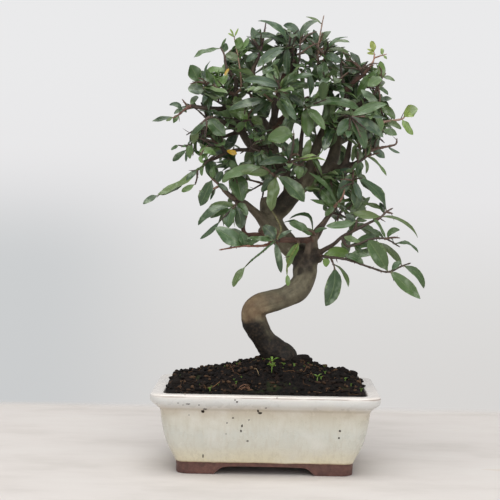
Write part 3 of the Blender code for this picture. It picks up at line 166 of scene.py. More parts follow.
# Limbs of the trunk's piece: name, number of sides, then points (across, down, depth, width)
LIMBS = [
    ("trunk", 8, [(282, 388, 0, 30), (281, 378, 0, 38), (281, 368, 0, 41), (281.5, 358.5, 0, 32),
        (274, 351, -1, 26.5), (264.5, 340, -3, 22.5), (258.5, 330, -5, 23), (254, 320, -7, 24.5),
        (253.5, 311, -8, 24.5), (260, 304.5, -8, 24), (272, 301, -6, 22), (285, 297, -3, 21),
        (297, 290, 0, 22), (303.5, 280, 3, 21.5), (305, 269, 6, 24.5), (304.5, 259, 9, 26),
        (293.5, 250, 12, 22), (283, 239, 15, 21.5), (275, 229.5, 17, 22.5), (271, 221, 18, 24),
        (271, 213, 19, 19)]),
    ("sawn_leader", 6, [(271, 223, 17, 15), (267, 212, 16, 14.5), (265.5, 204, 16, 12),
        (264.5, 197, 16, 8)]),
    ("right_leader", 6, [(270, 219, 17, 20), (280.5, 208.5, 15, 19.5), (290.5, 196, 13, 19),
        (301, 185, 13, 17.5), (314, 179, 13, 14.5), (326, 170, 14, 12.5), (333, 158, 15, 12),
        (336, 144, 15, 11), (338, 131, 15, 10.5), (339, 120, 14, 9), (343, 104, 12, 6.5),
        (344.5, 90, 11, 5), (341.5, 74, 9, 3), (341, 57, 10, 2)]),
    ("centre_leader", 6, [(302, 187, 13, 15), (309, 172, 10, 13), (313, 157, 10, 11.5),
        (318, 144, 11, 10.5), (324, 130, 12, 9), (328, 116, 13, 7), (329, 104, 14, 5)]),
    ("centre_stem", 5, [(299, 190, 14, 8), (298, 174, 9, 5.2), (300, 158, 7, 4.8), (301, 142, 7, 4.6),
        (303, 128, 6, 4.2), (306, 115, 5, 3.6)]),
    ("middle_limb", 6, [(289, 200, 18, 14), (290, 188, 21, 13.5), (288, 177, 22, 13), (281, 168, 22, 13),
        (274, 158, 22, 13), (272, 147, 22, 12.5), (272, 136, 21, 11), (273, 124, 20, 9),
        (276, 110, 19, 6.5), (279, 97, 17, 5.5), (281, 86, 15, 4.8), (284, 73, 14, 3.8)]),
    ("left_leader", 5, [(273, 152, 22, 12), (262, 149, 21, 11), (252, 145, 19, 9.5), (245, 137, 16, 8.5),
        (240, 126, 13, 7.5), (236, 114, 10, 7), (235, 102, 9, 6.5), (236, 90, 8, 5.5), (236, 79, 7, 4)]),
    ("right_upright", 4, [(330, 166, 14, 9), (341, 168, 8, 7), (347, 159, 7, 6.2), (349, 148, 8, 5),
        (351, 137, 9, 4)]),
    ("stub_branch", 5, [(311, 259, 6, 14), (313, 248, 2, 10.5), (313.5, 240, -1, 9), (316, 232, -3, 6.6),
        (321, 225, -6, 4.8), (329, 216, -8, 4.4), (334, 207, -9, 4)]),
    ("cut_stub", 6, [(305, 260, 4, 8), (307.5, 253, -1, 7.4), (308.5, 247, -3, 6.6), (309, 243, -3, 6)]),
    ("right_low_branch", 4, [(314, 256, 5, 9), (324, 250, -1, 5), (334, 244, -7, 4.4), (342, 237, -11, 4),
        (357, 229, -14, 3.6), (375, 220, -12, 3)]),
    ("cross_branch", 4, [(314, 240, 0, 7), (302, 240, -7, 5.6), (287, 240, -13, 5.6), (275, 240, -16, 5)]),
    ("left_low_branch", 4, [(269, 226, 15, 15), (257, 214, 8, 9), (246, 204.5, 2, 7.5), (233, 198, -3, 6),
        (223, 189, -4, 5)]),
    ("left_flat_branch", 4, [(272, 237, 13, 8), (257, 235, 3, 5.5), (246, 234.5, -3, 5),
        (243, 227, -5, 4.6), (246, 214, -7, 4)]),
    ("crown_fork", 4, [(274, 127, 20, 8), (287, 114, 14, 5.5), (300, 102, 8, 4.5), (309, 97, 4, 3.6)]),
    ("left_middle_branch", 4, [(261, 150, 21, 8), (249, 150, 13, 4.6), (237, 150, 9, 4), (226, 153, 6, 3.8),
        (214, 159, 2, 3.6), (205, 161, 1, 3.4)]),
    ("left_upper_branch", 4, [(233, 107, 9, 6), (219, 109, 5, 5.2), (205, 108, 3, 4.6), (191, 106, 4, 4)]),
    ("left_thin_branch", 4, [(241, 131, 14, 5.5), (232, 134, 10, 4), (222, 137, 5, 3.6), (212, 137, 2, 3.2),
        (202, 134, 1, 3)]),
    ("crown_left_branch", 4, [(277, 106, 18, 6.5), (264, 92, 10, 5.5), (253, 74, 6, 5), (258, 58, 5, 4)]),
    ("crown_middle_branch", 4, [(281, 89, 16, 5.8), (290, 72, 9, 5), (294, 58, 6, 4.4)]),
    ("crown_right_branch", 4, [(327, 121, 13, 7), (327, 104, 18, 5.5), (323, 84, 20, 4.6),
        (318, 64, 17, 4)]),
    ("right_fork", 4, [(344, 92, 11, 6), (354, 82, 7, 4.4), (363, 75, 5, 3.8), (370, 67, 4, 3.2)]),
    ("bare_spur", 4, [(351, 84, 8, 3.8), (360, 71, 7, 2.8), (368, 61, 7, 2)]),
    ("right_middle_branch", 4, [(339, 121, 14, 8), (351, 111, 11, 6), (364, 101, 8, 5), (375, 94, 6, 4)]),
    ("right_flat_branch", 4, [(337, 137, 15, 9), (347, 130, 9, 6), (360, 125, 3, 4.8), (377, 123, 1, 4)]),
    ("right_inner_branch", 4, [(344, 166, 7, 6), (356, 163, 5, 4.8), (362, 157, 3, 4.4),
        (369, 151, 2, 3.6)]),
    ("right_hanging_branch", 4, [(318, 177, 14, 10), (332, 178, 6, 6.5), (344, 173, -2, 5.4),
        (352, 167, -6, 4.4)]),
    ("front_middle_branch", 4, [(275, 157, 22, 9), (281, 158, 8, 6), (287, 162, -8, 5),
        (289, 163, -18, 4.5)]),
    ("front_low_branch", 4, [(284, 172, 22, 9), (280, 171, 8, 6), (276, 173, -8, 5), (274, 176, -19, 4.2)]),
    ("front_top_branch", 4, [(274, 124, 20, 8), (274, 112, 4, 5.5), (274, 103, -11, 5),
        (277, 96, -23, 4.2)]),
    ("front_right_branch", 4, [(338, 122, 14, 8), (342, 120, -1, 6), (346, 117, -14, 5),
        (350, 116, -23, 4.2)]),
    ("front_left_branch", 4, [(242, 131, 14, 7), (232, 127, 5, 5.5), (222, 122, -6, 4.6),
        (210, 117, -9, 4)]),
    ("left_inner_branch", 4, [(280, 168, 22, 8), (264, 167, 14, 5.8), (250, 167, 8, 5.2),
        (238, 168, 4, 4.5)]),
    ("back_low_left", 5, [(272, 222, 18, 15), (270, 208, 28, 8), (271, 195, 36, 6), (269, 180, 42, 4.5)]),
    ("back_low_right", 5, [(302, 251, 12, 15), (314, 239, 25, 8), (325, 221, 33, 6), (337, 205, 37, 4.5)]),
    ("back_middle_right", 5, [(296, 192, 13, 13), (304, 179, 27, 7.5), (311, 165, 36, 5.5),
        (315, 150, 43, 4.5)]),
    ("back_middle", 5, [(281, 168, 22, 11), (272, 155, 34, 6.5), (263, 143, 43, 4.8)]),
    ("back_upper_left", 4, [(272, 134, 21, 9), (262, 117, 31, 6), (252, 98, 36, 4.5)]),
    ("back_upper_right", 4, [(338, 123, 14, 8), (343, 108, 26, 6), (349, 92, 34, 4.5)]),
    ("back_crown", 4, [(277, 106, 18, 6.5), (286, 86, 27, 5), (296, 66, 31, 4)]),
    ("back_right", 4, [(336, 142, 15, 10), (348, 138, 24, 6), (359, 133, 29, 4.5)]),
    ("back_left", 4, [(240, 127, 14, 7.5), (234, 121, 24, 5.2), (226, 121, 29, 4.6), (216, 125, 30, 4)]),
]

# Sprays: name, twigs (each across, down, depth; the first grows from a limb, the rest fork off it),
# leaves (base across and down, tip across and down, width seen, bow), number of leaves added by rule
SPRAYS = [
    ("crown_left", [[(234, 85, 7), (227, 68, 5), (224, 54, 6), (220, 47, 7)]], [(218, 49, 193, 56, 5, 0),
        (220, 46, 226, 38, 2.5, 1), (225, 58, 241, 62, 8, 1)], 4),
    ("crown_left_shoot", [[(234, 97, 7), (241, 87, 1), (240, 70, -1), (237, 52, 2), (234, 36, 7)]],
        [(234, 37, 228, 33, 2, 0), (234, 36, 230, 29, 2, 0), (234, 35, 238, 28, 2, 1),
        (238, 50, 240, 37, 9, 0), (240, 52, 248, 37, 5, 1), (239, 60, 225, 55, 8, 1)], 3),
    ("left_high", [[(233, 96, 8), (220, 89, 3), (208, 84, 1), (199, 82, 2), (190, 84, 4)], [(208, 84, 1),
        (205, 92, -2)]], [(199, 82, 190, 65, 13.5, 0), (203, 83, 210, 61, 2, -1), (204, 92, 188, 88, 11, 0),
        (212, 86, 206, 69, 7, 0), (216, 87, 228, 74, 7, 1)], 4),
    ("left_far", [[(191, 106, 4), (184, 110, 5), (177, 116, 5), (172, 118, 4)], [(188, 107, 4),
        (182, 99, 5)]], [(190, 106, 198, 95, 6, 0), (181, 112, 169, 105, 5, 4),
        (174, 117, 152, 121, 4.5, 0), (173, 118, 166, 121, 3, 0), (179, 114, 173, 123, 5, 0),
        (185, 109, 174, 114, 4, 1)], 0),
    ("left_front", [[(210, 117, -9), (205, 120, -9), (200, 125, -9)]], [(206, 118, 190, 135, 6, 2),
        (208, 117, 226, 135, 14, -2), (200, 125, 193, 144, 8, -1)], 3),
    ("left_middle_tip", [[(202, 134, 1), (196, 139, 1), (190, 145, 1), (187, 150, 2)], [(190, 145, 1),
        (183, 146, 3), (178, 145, 4)]], [(187, 145, 182, 147, 2.5, 0), (178, 145, 171, 150, 3.5, 0),
        (186, 151, 172, 161, 6, 0), (187, 150, 186, 162, 3, 0), (192, 143, 190, 159, 7, -1),
        (196, 140, 214, 146, 8, 1), (199, 137, 213, 130, 8, 1)], 2),
    ("left_cluster", [[(205, 161, 1), (203, 166, -1), (192, 173, 2), (180, 182, 6), (157, 196, 4)],
        [(203, 165, 0), (211, 158, -5), (217, 155, -9)], [(197, 170, 0), (197, 178, -2), (195, 185, -2)]],
        [(200, 170, 158, 195, 7, -3), (158, 196, 143, 204, 6, 1), (195, 186, 181, 191, 6, 0),
        (204, 164, 202, 176, 4, -1), (217, 155, 199, 151, 7, 2)], 1),
    ("left_low_tip", [[(223, 189, -4), (217, 183, -5), (210, 177, -6)], [(220, 186, -5), (212, 189, -6),
        (199, 191, -3)]], [(213, 179, 200, 206, 12, 0), (216, 188, 210, 200, 3, 0),
        (217, 183, 222, 171, 8, 0), (212, 179, 214, 166, 6, 0)], 2),
    ("left_hanging", [[(238, 200, -2), (236, 205, -9), (232, 209, -13)], [(236, 205, -9), (227, 214, -13),
        (220, 221, -14)]], [(233, 207, 228, 228, 12, -1), (236, 206, 241, 229, 12, 1),
        (231, 209, 210, 218, 8, 2), (234, 206, 197, 225, 8, 4.5), (220, 221, 200, 239, 5, -2),
        (238, 204, 247, 216, 8, 1)], 2),
    ("left_under", [[(275, 240, -16), (266, 245, -21), (255, 246, -23), (242, 246, -23), (230, 248, -22),
        (219, 250, -19)]], [(243, 247, 216, 227, 15, 0), (241, 246, 229, 247, 2, 1),
        (246, 246, 240, 233, 9, 0), (248, 246, 262, 238, 5, 1)], 1),
    ("centre_low", [[(281, 239, -15), (277, 240, -22), (274, 241, -25)], [(275, 241, -24), (262, 252, -27),
        (252, 260, -27), (245, 267, -26)], [(277, 240, -22), (281, 229, -20), (277, 219, -19),
        (272, 211, -19)]], [(274, 240, 247, 238, 5, 0), (275, 240, 263, 226, 12, 1),
        (245, 266, 233, 287, 7.5, -0.5), (275, 242, 281.5, 273, 7, 0), (277, 240, 292, 230, 4, 1)], 0),
    ("trunk_leaf", [[(298, 240, -8), (299, 244, -14)], [(299, 243, -14), (293, 252, -17), (287.5, 264, -18),
        (287, 275, -18)]], [(299, 244, 287, 268, 8.5, -1), (287, 275, 288, 286, 5, 0)], 0),
    ("stub_cluster", [[(316, 236, -2), (313, 232, -10), (308, 230, -14)]], [(313, 232, 289, 218, 3, 11),
        (307, 231, 289, 223, 8.5, 1), (306, 230, 283, 221, 2.5, 3), (313, 236, 300, 228, 7, 1),
        (314, 233, 327, 228, 4, 1)], 0),
    ("centre_right", [[(334, 207, -9), (337, 204, -14), (342, 198, -17), (345, 189, -18)]],
        [(337, 205, 309, 172, 4, 3), (335, 207, 321, 190, 12, 0), (335, 207, 310, 200, 4, -1),
        (335, 206, 325, 216, 6, 0)], 3),
    ("right_hanging", [[(352, 167, -6), (353, 174, -12), (353, 184, -17)]], [(353, 172, 351, 190, 13, 0),
        (353, 184, 357, 209, 11, 1), (352, 176, 338, 199, 10, -1), (353, 180, 361, 199, 7, 0)], 3),
    ("right_out", [[(375, 220, -12), (381, 217, -11), (386, 212, -10), (393, 208, -6)], [(386, 212, -10),
        (393, 213.5, -6)]], [(386, 211, 358, 177, 8, 4), (385, 212, 362, 203, 4, 1),
        (384, 214, 380, 202, 5, 0), (382, 217, 352, 213, 8, -1), (382, 217, 420, 236, 3.5, 5)], 0),
    ("right_low_side", [[(352, 232, -13), (356, 225, -17), (357, 219, -20)]], [(356, 221, 326, 226, 8, -2),
        (356, 222, 345, 214, 6, 0)], 2),
    ("right_out_low", [[(342, 237, -11), (347, 246, -14), (358, 244, -15), (372, 239, -14), (386, 239, -9),
        (400, 247, -2)], [(385, 239, -10), (393, 237.5, -6), (400, 238, -2)]], [(386, 239, 375, 218, 4, 0),
        (387, 238, 400, 230, 6, 3), (385, 239, 352, 225, 5, 1), (396, 242, 418, 253, 3, 3),
        (361, 243, 344, 237, 6, 0)], 1),
    ("right_lowest", [[(315, 257, 5), (326, 257, -5), (338, 258, -10), (352, 261, -12), (372, 268, -11),
        (388, 272, -7), (402, 266, 0), (411, 263, 0)], [(330, 257, -6), (333, 263, -10), (335, 269, -13)]],
        [(388, 271, 368, 240, 17, 0), (402, 266, 378, 242, 7, 2), (391, 270, 401, 261, 6, 0),
        (390, 272, 420, 299, 12, 0), (403, 266, 425, 289, 8, 4.5), (391, 271, 394, 281, 1.5, 0),
        (364, 265, 345, 255, 7, 2), (324, 256, 350, 253, 13, 1), (336, 267, 325, 306, 16, 4),
        (335, 263, 348, 287, 4, 2), (327, 257, 326, 267, 7, 0)], 0),
    ("crown_middle", [[(294, 58, 6), (292, 51, 3), (287, 45, 1)]], [(288, 45, 258, 21, 5, 6),
        (288, 46, 252, 35, 6, 3), (288, 45, 266, 35, 4, 1), (287, 46, 287, 76, 8, 0),
        (288, 47, 257, 66, 10, 2)], 1),
    ("crown_middle_right", [[(290, 72, 9), (298, 64, 3), (300, 52, 2), (300, 40, 4)]],
        [(301, 38, 283, 25, 8, 3), (300, 40, 319, 20, 6, -5), (299, 45, 312, 55, 9, 1),
        (299, 48, 288, 43, 7, 1)], 2),
    ("crown_tip", [[(318, 64, 17), (318, 50, 12), (320, 36, 12), (322, 24, 13), (324, 15, 12)]],
        [(322, 24, 306, 17, 2.5, 1), (318, 57, 314, 29, 8, 0), (320, 42, 331, 31, 6, 1),
        (318, 50, 306, 38, 6, 1)], 2),
    ("crown_right", [[(320, 74, 18), (324, 60, 11), (325, 50, 8)]], [(325, 51, 350, 41, 3.5, 4),
        (325, 53, 351, 59, 4, 6), (325, 52, 347, 35, 2.5, 2), (325, 56, 341, 62, 9, 1),
        (324, 60, 322, 80, 11, 0)], 3),
    ("crown_right_side", [[(361, 75, 5), (361, 68, 2)]], [(361, 69, 350, 52, 6.5, 1),
        (361, 70, 348, 71, 7, 0)], 2),
    ("crown_left_middle", [[(258, 58, 5), (262, 45, 4), (266, 22, 9)]], [(261, 48, 252, 27, 9, -1),
        (262, 44, 243, 48, 7, 2), (259, 54, 246, 62, 7, 1)], 3),
    ("front_top", [[(277, 96, -23), (278, 91, -28), (281, 87, -31)], [(277, 95, -24), (271, 102, -30)]],
        [(281, 88, 243, 81, 9, 3), (272, 102, 228, 109, 8, 2), (273, 101, 249, 117, 4, 1),
        (279, 90, 266, 72, 7, 0)], 3),
    ("left_small_front", [[(235, 126, 12), (243, 122, 0), (251, 119, -9)]], [(249, 120, 237, 113, 8, 1),
        (251, 119, 262, 125, 9, 1), (247, 121, 246, 128, 2.5, 0), (245, 121, 236, 132, 8, 0)], 3),
    ("front_middle", [[(289, 163, -18), (290, 160, -24), (293, 147, -27), (294, 133, -30)],
        [(290, 161, -23), (297, 165, -20), (304, 165, -17)]], [(294, 133, 267, 139, 15, 0),
        (290, 160, 283, 141, 9.5, 0), (290, 160, 298, 138, 11, 0), (291, 162, 326, 161, 4.5, 2),
        (298, 165, 299, 179, 9, 0), (304, 165, 310, 139, 8, 0), (290, 161, 259, 165, 8, 2)], 0),
    ("front_fork", [[(300, 104, 8), (304, 107, -6), (306, 108, -18)]], [(305, 108, 308, 137, 13, 0),
        (306, 108, 325, 130, 9, 1), (306, 107, 363, 107, 9.5, 4), (304, 107, 289, 95, 8, 0)], 1),
    ("left_inner", [[(238, 168, 4), (236, 169, -2), (234, 170, -7)]], [(235, 170, 243, 201, 18, -1),
        (235, 170, 222, 182, 9, 0)], 2),
    ("front_low", [[(274, 176, -19), (277, 176, -25)], [(275, 176, -23), (268, 170, -27), (262, 166, -28)]],
        [(276, 177, 271, 211, 12, 0), (275, 177, 261, 192, 9, 0), (277, 176, 305, 202, 14, 2),
        (262, 166, 222, 178, 10, 1), (270, 173, 240, 171, 8, -1)], 1),
    ("front_right", [[(350, 116, -23), (351, 117, -28)]], [(351, 117, 384, 137, 10, 2),
        (350, 117, 366, 149, 12, 2), (351, 116, 387, 103, 9, 1), (350, 117, 338, 136, 10, 0)], 2),
    ("right_upper", [[(375, 94, 6), (378, 86, 4), (382, 78, 4), (386, 73, 5)], [(377, 87, 4), (380, 97, -2),
        (379, 108, -4)]], [(381, 80, 380, 61, 9, 0), (383, 77, 395, 81, 4, 1), (379, 88, 388, 95, 4, 1),
        (379, 99, 392, 99, 5, 0), (379, 107, 361, 89, 8, 0), (379, 108, 395, 119, 8, 2)], 2),
    ("right_tip", [[(377, 123, 1), (390, 121, 3), (402, 119, 6), (405, 116, 7)], [(380, 122.5, 1),
        (383, 131, -1)]], [(403, 117, 418, 109, 12, 1), (402, 119, 413, 135, 7, -1),
        (386, 122, 402, 129, 6, 1), (383, 131, 397, 135, 7, 1)], 1),
    ("right_shoot", [[(370, 67, 4), (374, 59, 5), (374, 51, 6)], [(374, 58, 5), (380, 56, 7),
        (387, 54, 8)]], [(374, 51, 371, 41, 6, 0), (374, 52, 367, 49, 2.5, 0), (374, 54, 367, 53, 3, 0),
        (382, 55, 382, 48, 4, 0), (383, 55, 387, 59, 2.5, 0)], 0),
    ("right_middle_tip", [[(368, 150, 2), (380, 148, 2), (390, 146, 3), (396, 144, 4), (397, 138, 4)]],
        [(388, 147, 400, 153, 3, -1), (373, 149, 385, 158, 8, 0), (375, 149, 371, 137, 8, 0)], 3),
    ("right_middle_low", [[(350, 167, -5), (362, 160, -7), (372, 153, -6)]], [(368, 156, 386, 176, 3, 1),
        (364, 159, 366, 174, 3.5, 2), (360, 161, 356, 148, 8, 0)], 2),
    ("centre_inner", [[(275, 148, 26), (262, 146, 4), (253, 142, -12), (250, 150, -22)], [(262, 146, 4),
        (256, 158, -2)]], [], 8),
    ("right_inner", [[(334, 131, 15), (331, 126, 0), (334, 128, -16)], [(331, 127, 0), (318, 122, -8)]], [],
        8),
    ("right_inner_low", [[(315, 164, 14), (322, 176, 0), (328, 186, -14)], [(321, 175, 2), (336, 178, -4)]],
        [], 8),
    ("crown_inner", [[(326, 98, 20), (334, 88, 6), (337, 76, -2)], [(331, 92, 11), (322, 84, -2)]], [], 8),
    ("crown_inner_left", [[(263, 91, 10), (255, 90, -2), (247, 93, -12)], [(256, 90, 0), (262, 80, -8)]],
        [], 8),
    ("left_inner_high", [[(233, 112, 9), (222, 104, -3), (214, 100, -12)], [(225, 106, 0), (222, 94, 4)]],
        [], 8),
    ("left_inner_low", [[(228, 151, 6), (218, 146, -4), (206, 146, -10)], [(219, 146, -2), (214, 138, 2)]],
        [(228, 151, 237, 154, 5.5, 0)], 8),
    ("back_low_left", [[(269, 180, 42)]], [], 9),
    ("back_low_right", [[(337, 205, 37)]], [], 9),
    ("back_middle_right", [[(315, 150, 43)]], [], 9),
    ("back_middle", [[(263, 143, 43)]], [], 9),
    ("back_upper_left", [[(252, 98, 36)]], [], 10),
    ("back_upper_right", [[(349, 92, 34)]], [], 10),
    ("back_crown", [[(296, 66, 31)]], [], 10),
    ("back_right", [[(359, 133, 29)]], [], 10),
    ("back_left", [[(216, 125, 30)]], [], 9),
]

# The canopy's middle, its outline in the front view and the gaps in it, which rule leaves keep to

CANOPY_MIDDLE = (295, 150, 14)
CANOPY = [
    (250, 34), (266, 24), (284, 26), (303, 30), (322, 30), (333, 42), (350, 48), (358, 62), (372, 60),
    (386, 66), (386, 80), (382, 92), (388, 100), (391, 118), (398, 124), (394, 130), (378, 138), (380, 156),
    (370, 160), (366, 176), (380, 200), (386, 214), (384, 226), (396, 240), (394, 254), (386, 262),
    (370, 256), (350, 256), (336, 260), (324, 258), (330, 246), (345, 240), (338, 228), (326, 214),
    (306, 202), (300, 190), (280, 186), (262, 192), (250, 190), (246, 206), (248, 240), (226, 240),
    (212, 222), (204, 212), (204, 196), (212, 180), (206, 170), (198, 160), (186, 156), (188, 140),
    (196, 128), (206, 116), (198, 112), (178, 114), (180, 104), (198, 98), (190, 90), (192, 70), (204, 69),
    (222, 69), (226, 54), (236, 46)]
GAPS = [
    (201, 102, 5), (197, 118, 8), (219, 106, 4), (250, 100, 5), (256, 71, 5), (250, 59, 3), (302, 58, 4),
    (242, 143, 5), (243, 158, 5), (228, 137, 3), (254, 184, 8), (256, 198, 8), (281, 182, 4), (306, 93, 3),
    (315, 92, 3), (319, 109, 4), (327, 158, 5), (326, 166, 4), (319, 130, 5), (297, 131, 4), (345, 164, 4),
    (346, 146, 4), (225, 180, 5), (363, 165, 5), (369, 92, 4), (280, 113, 4), (268, 123, 4), (313, 198, 3),
    (343, 230, 4), (302, 206, 9), (316, 214, 6), (329, 238, 8), (338, 246, 4), (360, 189, 4), (372, 206, 3),
    (222, 196, 5), (390, 228, 4), (310, 246, 5), (352, 252, 3), (269, 31, 5), (268, 46, 4), (372, 226, 5),
    (356, 234, 4)]

# Wood that the front view shows bare: limb, and from how far down to how far down
BARE_WOOD = [
    ("left_leader", 78, 152), ("middle_limb", 68, 176), ("right_leader", 56, 84),
    ("right_leader", 132, 200), ("centre_leader", 118, 190), ("centre_stem", 122, 180),
    ("right_upright", 146, 170), ("right_fork", 62, 84), ("bare_spur", 55, 84), ("cut_stub", 240, 262),
    ("right_low_branch", 216, 252), ("left_low_branch", 188, 222), ("sawn_leader", 190, 220),
    ("stub_branch", 200, 250), ("left_middle_branch", 146, 162), ("trunk", 200, 400)]
COVER_CELL = 4.0
CANOPY_TESTS = (0.35, 0.6, 0.85, 1.0)
HIDE_TESTS = (0.3, 0.5, 0.7, 0.85, 1.0)
GAP_MARGIN = 2

# Weeds in the soil: name, foot in the front view, height, and leaves (turn, reach, rise, width)
SEEDLINGS = [
    ("seedling_front", (271.5, 374), 0.0082, [(10, 0.0050, 0.0018, 0.0022), (100, 0.0038, 0.0024, 0.0018),
        (175, 0.0052, 0.0012, 0.0022), (265, 0.0042, 0.0006, 0.0020)]),
    ("seedling_right", (317, 382), 0.0040, [(30, 0.0036, 0.0016, 0.0018), (150, 0.0036, 0.0014, 0.0018),
        (260, 0.0030, 0.0010, 0.0016)]),
]

# Soil: heights of the ridge through the trunk, from the left end of the pot to the right
SOIL_EDGE = 0.0560
SOIL_APEX = (278, 357, 0)
SOIL_CORNER = 0.6
SOIL_FALL = 1.9

SOIL_RIDGE = [
    (-0.0700, 0.0590), (-0.0640, 0.0640), (-0.0470, 0.0672), (-0.0330, 0.0698), (-0.0190, 0.0728),
    (-0.0060, 0.0765), (0.0080, 0.0780), (0.0240, 0.0765), (0.0310, 0.0730), (0.0385, 0.0700),
    (0.0460, 0.0684), (0.0535, 0.0690), (0.0600, 0.0655), (0.0670, 0.0610), (0.0700, 0.0575)]

# How high the glaze stops above the table
FOOT_BAND = 0.0083

# Small leaves that only the looks have: how many are tried in a spray, and their share of full size
OPEN_SPRAYS = (
    "right_out", "right_out_low", "right_lowest", "right_low_side", "centre_right", "stub_cluster",
    "trunk_leaf", "centre_low", "left_under", "left_hanging", "left_low_tip", "left_far", "left_middle_tip",
    "left_cluster", "right_tip", "right_shoot", "crown_left_shoot", "front_low")
SMALL_LEAVES_OPEN = 3
SMALL_TWIGS = 7
SIDE_TWIG_REACH = (0.008, 0.019)
SIDE_TWIG_RADII = [FORK_RADIUS * 0.8, FORK_RADIUS * 0.65, TIP_RADIUS * 0.8]
SMALL_LEAVES = 40
SMALL_TRIALS = 30
SMALL_SHARE = (0.4, 0.95)
SMALL_SLIM = 0.98

# Round a fine leaf: how far across, and how far off the blade, up on its face and down on its back
LEAF_RING = (
    (-1, 1), (-0.66, 1), (-0.3, 1), (0, 1), (0.3, 1), (0.66, 1), (1, 1), (0.66, -1), (0.3, -1),
    (0, -2.2), (-0.3, -1), (-0.66, -1))

# A fine leaf's draws: wave, fold, droop, twist and where it is widest, and its thickness
LEAF_WAVE = (0.1, 0.4)
LEAF_FOLD = (0.6, 1.9)
LEAF_DROOP = (-0.03, 0.1)
LEAF_TWIST = 0.3
LEAF_EARLY = (0.72, 1.05)
LEAF_THIN = 0.00011
LEAF_TAPER = 0.00022
LEAF_SHARP = math.radians(60)

# Stations along a fine leaf, and its outline: how far along, and the share of its full width
LEAF_ROWS = (0.0, 0.05, 0.12, 0.22, 0.34, 0.47, 0.6, 0.73, 0.84, 0.93, 1.0)
LEAF_OUTLINE = (
    (0.0, 0.07), (0.06, 0.09), (0.12, 0.24), (0.25, 0.68), (0.43, 0.97), (0.6, 1.0), (0.78, 0.82),
    (0.9, 0.52), (0.97, 0.24), (1.0, 0.02))

# Where the real tree shows new growth: place in the front view, reach in steps, and how fresh
FRESH = [
    ((308.5, 161.5), 3.5, 0.5), ((337, 258), 14, 0.42), ((411, 112), 14, 0.62), ((408, 126), 10, 0.5),
    ((371, 46), 9, 0.72), ((383, 55), 8, 0.6), ((233, 33), 9, 0.6), ((222, 76), 12, 0.34),
    ((240, 32), 8, 0.45), ((207, 152), 9, 0.35), ((243, 116), 9, 0.38), ((293, 255), 8, 0.38),
    ((289, 281), 4, 0.4), ((240, 45), 10, 0.3), ((380, 70), 9, 0.4), ((232.5, 152.5), 2.2, 1.0),
    ((228, 74), 3, 0.9)]

# Where the crown's leaves are darkest: place, reach in steps, and how much darker
DEEP_GREEN = [
    ((268, 38), 30, 0.55), ((305, 35), 24, 0.45), ((335, 52), 22, 0.35), ((232, 60), 18, 0.4),
    ((205, 225), 24, 0.3), ((400, 285), 26, 0.2)]

# Places that leaves by rule close, the trials for each, how near in steps a twig has to be, how far
# off the twig the place may lie, and the shortest and longest leaf
FILL = [
    (286, 91), (295, 90), (285, 98), (282, 104), (286, 109), (311, 107), (309, 192), (317, 190), (307, 198),
    (360, 174), (353, 170), (352, 152), (344, 144), (355, 90), (358, 96), (352, 97), (339, 89), (338, 75),
    (314, 67), (317, 75), (279, 57), (280, 67), (282, 74), (275, 53), (244, 94), (201, 96), (190, 94),
    (195, 110), (186, 112), (268, 109), (300, 124), (247, 49), (253, 46), (328, 66), (330, 109), (322, 108),
    (361, 81), (365, 83), (336, 140), (312, 140), (214, 70), (232, 136), (226, 147), (231, 146), (194, 154),
    (205, 156), (222, 156), (218, 150), (192, 176), (188, 187), (345, 246), (362, 248), (364, 256),
    (356, 252), (338, 249), (330, 252), (324, 229), (334, 227), (331, 233), (298, 126), (218, 104),
    (245, 96), (203, 95), (343, 150), (341, 156), (264, 66), (251, 62)]
FILL_TRIALS = 260
FILL_NEAR = 26
FILL_AIM = (0.005, 0.017)
FILL_LENGTH = (0.014, 0.028)

# Leaves of the front view that only the looks have: spray and row, as in the sprays' own lists
SHOWN_LEAVES = [
    ("crown_left", (223, 54, 226, 43, 8, 0)), ("left_hanging", (233, 203, 206, 211, 7, 2)),
    ("left_low_tip", (218, 184, 228, 190, 5, 0)), ("left_cluster", (190, 180, 160, 193, 5, -2)),
    ("left_cluster", (197, 170, 186, 181, 6, 0)), ("right_middle_low", (361, 161, 358, 175, 8, 0)),
    ("right_hanging", (352, 170, 363, 176, 7, 0))]

# Shades of the twigs, the thin young shoots, and the limbs with reddish bark
YOUNG_SPRAYS = ("crown_tip", "right_shoot", "centre_right", "crown_left_shoot", "right_tip")
YOUNG_SHADES = ("A98C7C", "987666", "8A6858")
THIN_SPRAYS = ("crown_tip", "crown_left_shoot", "right_shoot")
TWIG_SHADES = ("62534A", "50453D", "6B564A", "473E3A")
GREEN_TWIGS = {
    ("centre_low", 1): "4F6A42", ("centre_low", 2): "77744F", ("trunk_leaf", 1): "6F7F42",
    ("left_cluster", 0): "55683F", ("right_upper", 0): "8A7866", ("right_shoot", 0): "A9806C",
    ("right_shoot", 1): "9C7460", ("left_low_tip", 1): "8A6A55", ("left_under", 0): "8F6656",
    ("right_tip", 0): "A88A7A", ("crown_left_middle", 0): "5E4A4A", ("crown_tip", 0): "A88F80",
    ("crown_left_shoot", 0): "8F7663", ("left_far", 0): "7A5A50"}
RED_LIMBS = ("cross_branch", "middle_limb", "crown_fork", "left_flat_branch", "right_fork")

# How thick the young twigs are beside the plan's, and the thorns and buds along them
FULL_TWIG = 0.86
THIN_TWIG = 0.62
TWIG_SINK = 0.0014
TWIG_FLARE = 1.25
TWIG_STEP = 0.0016
TWIG_JOINT = 0.28
THORN_SHARE = 0.22
THORN_REACH = (0.003, 0.0065)
THORN_SHADE = "4E3C34"
BUD_REACH = (0.0008, 0.0014)
BUD_SHADE = "6E4A3E"

# How much is left of what a leaf stands out in front of or behind the CAD box
DRAWN_IN = 0.25

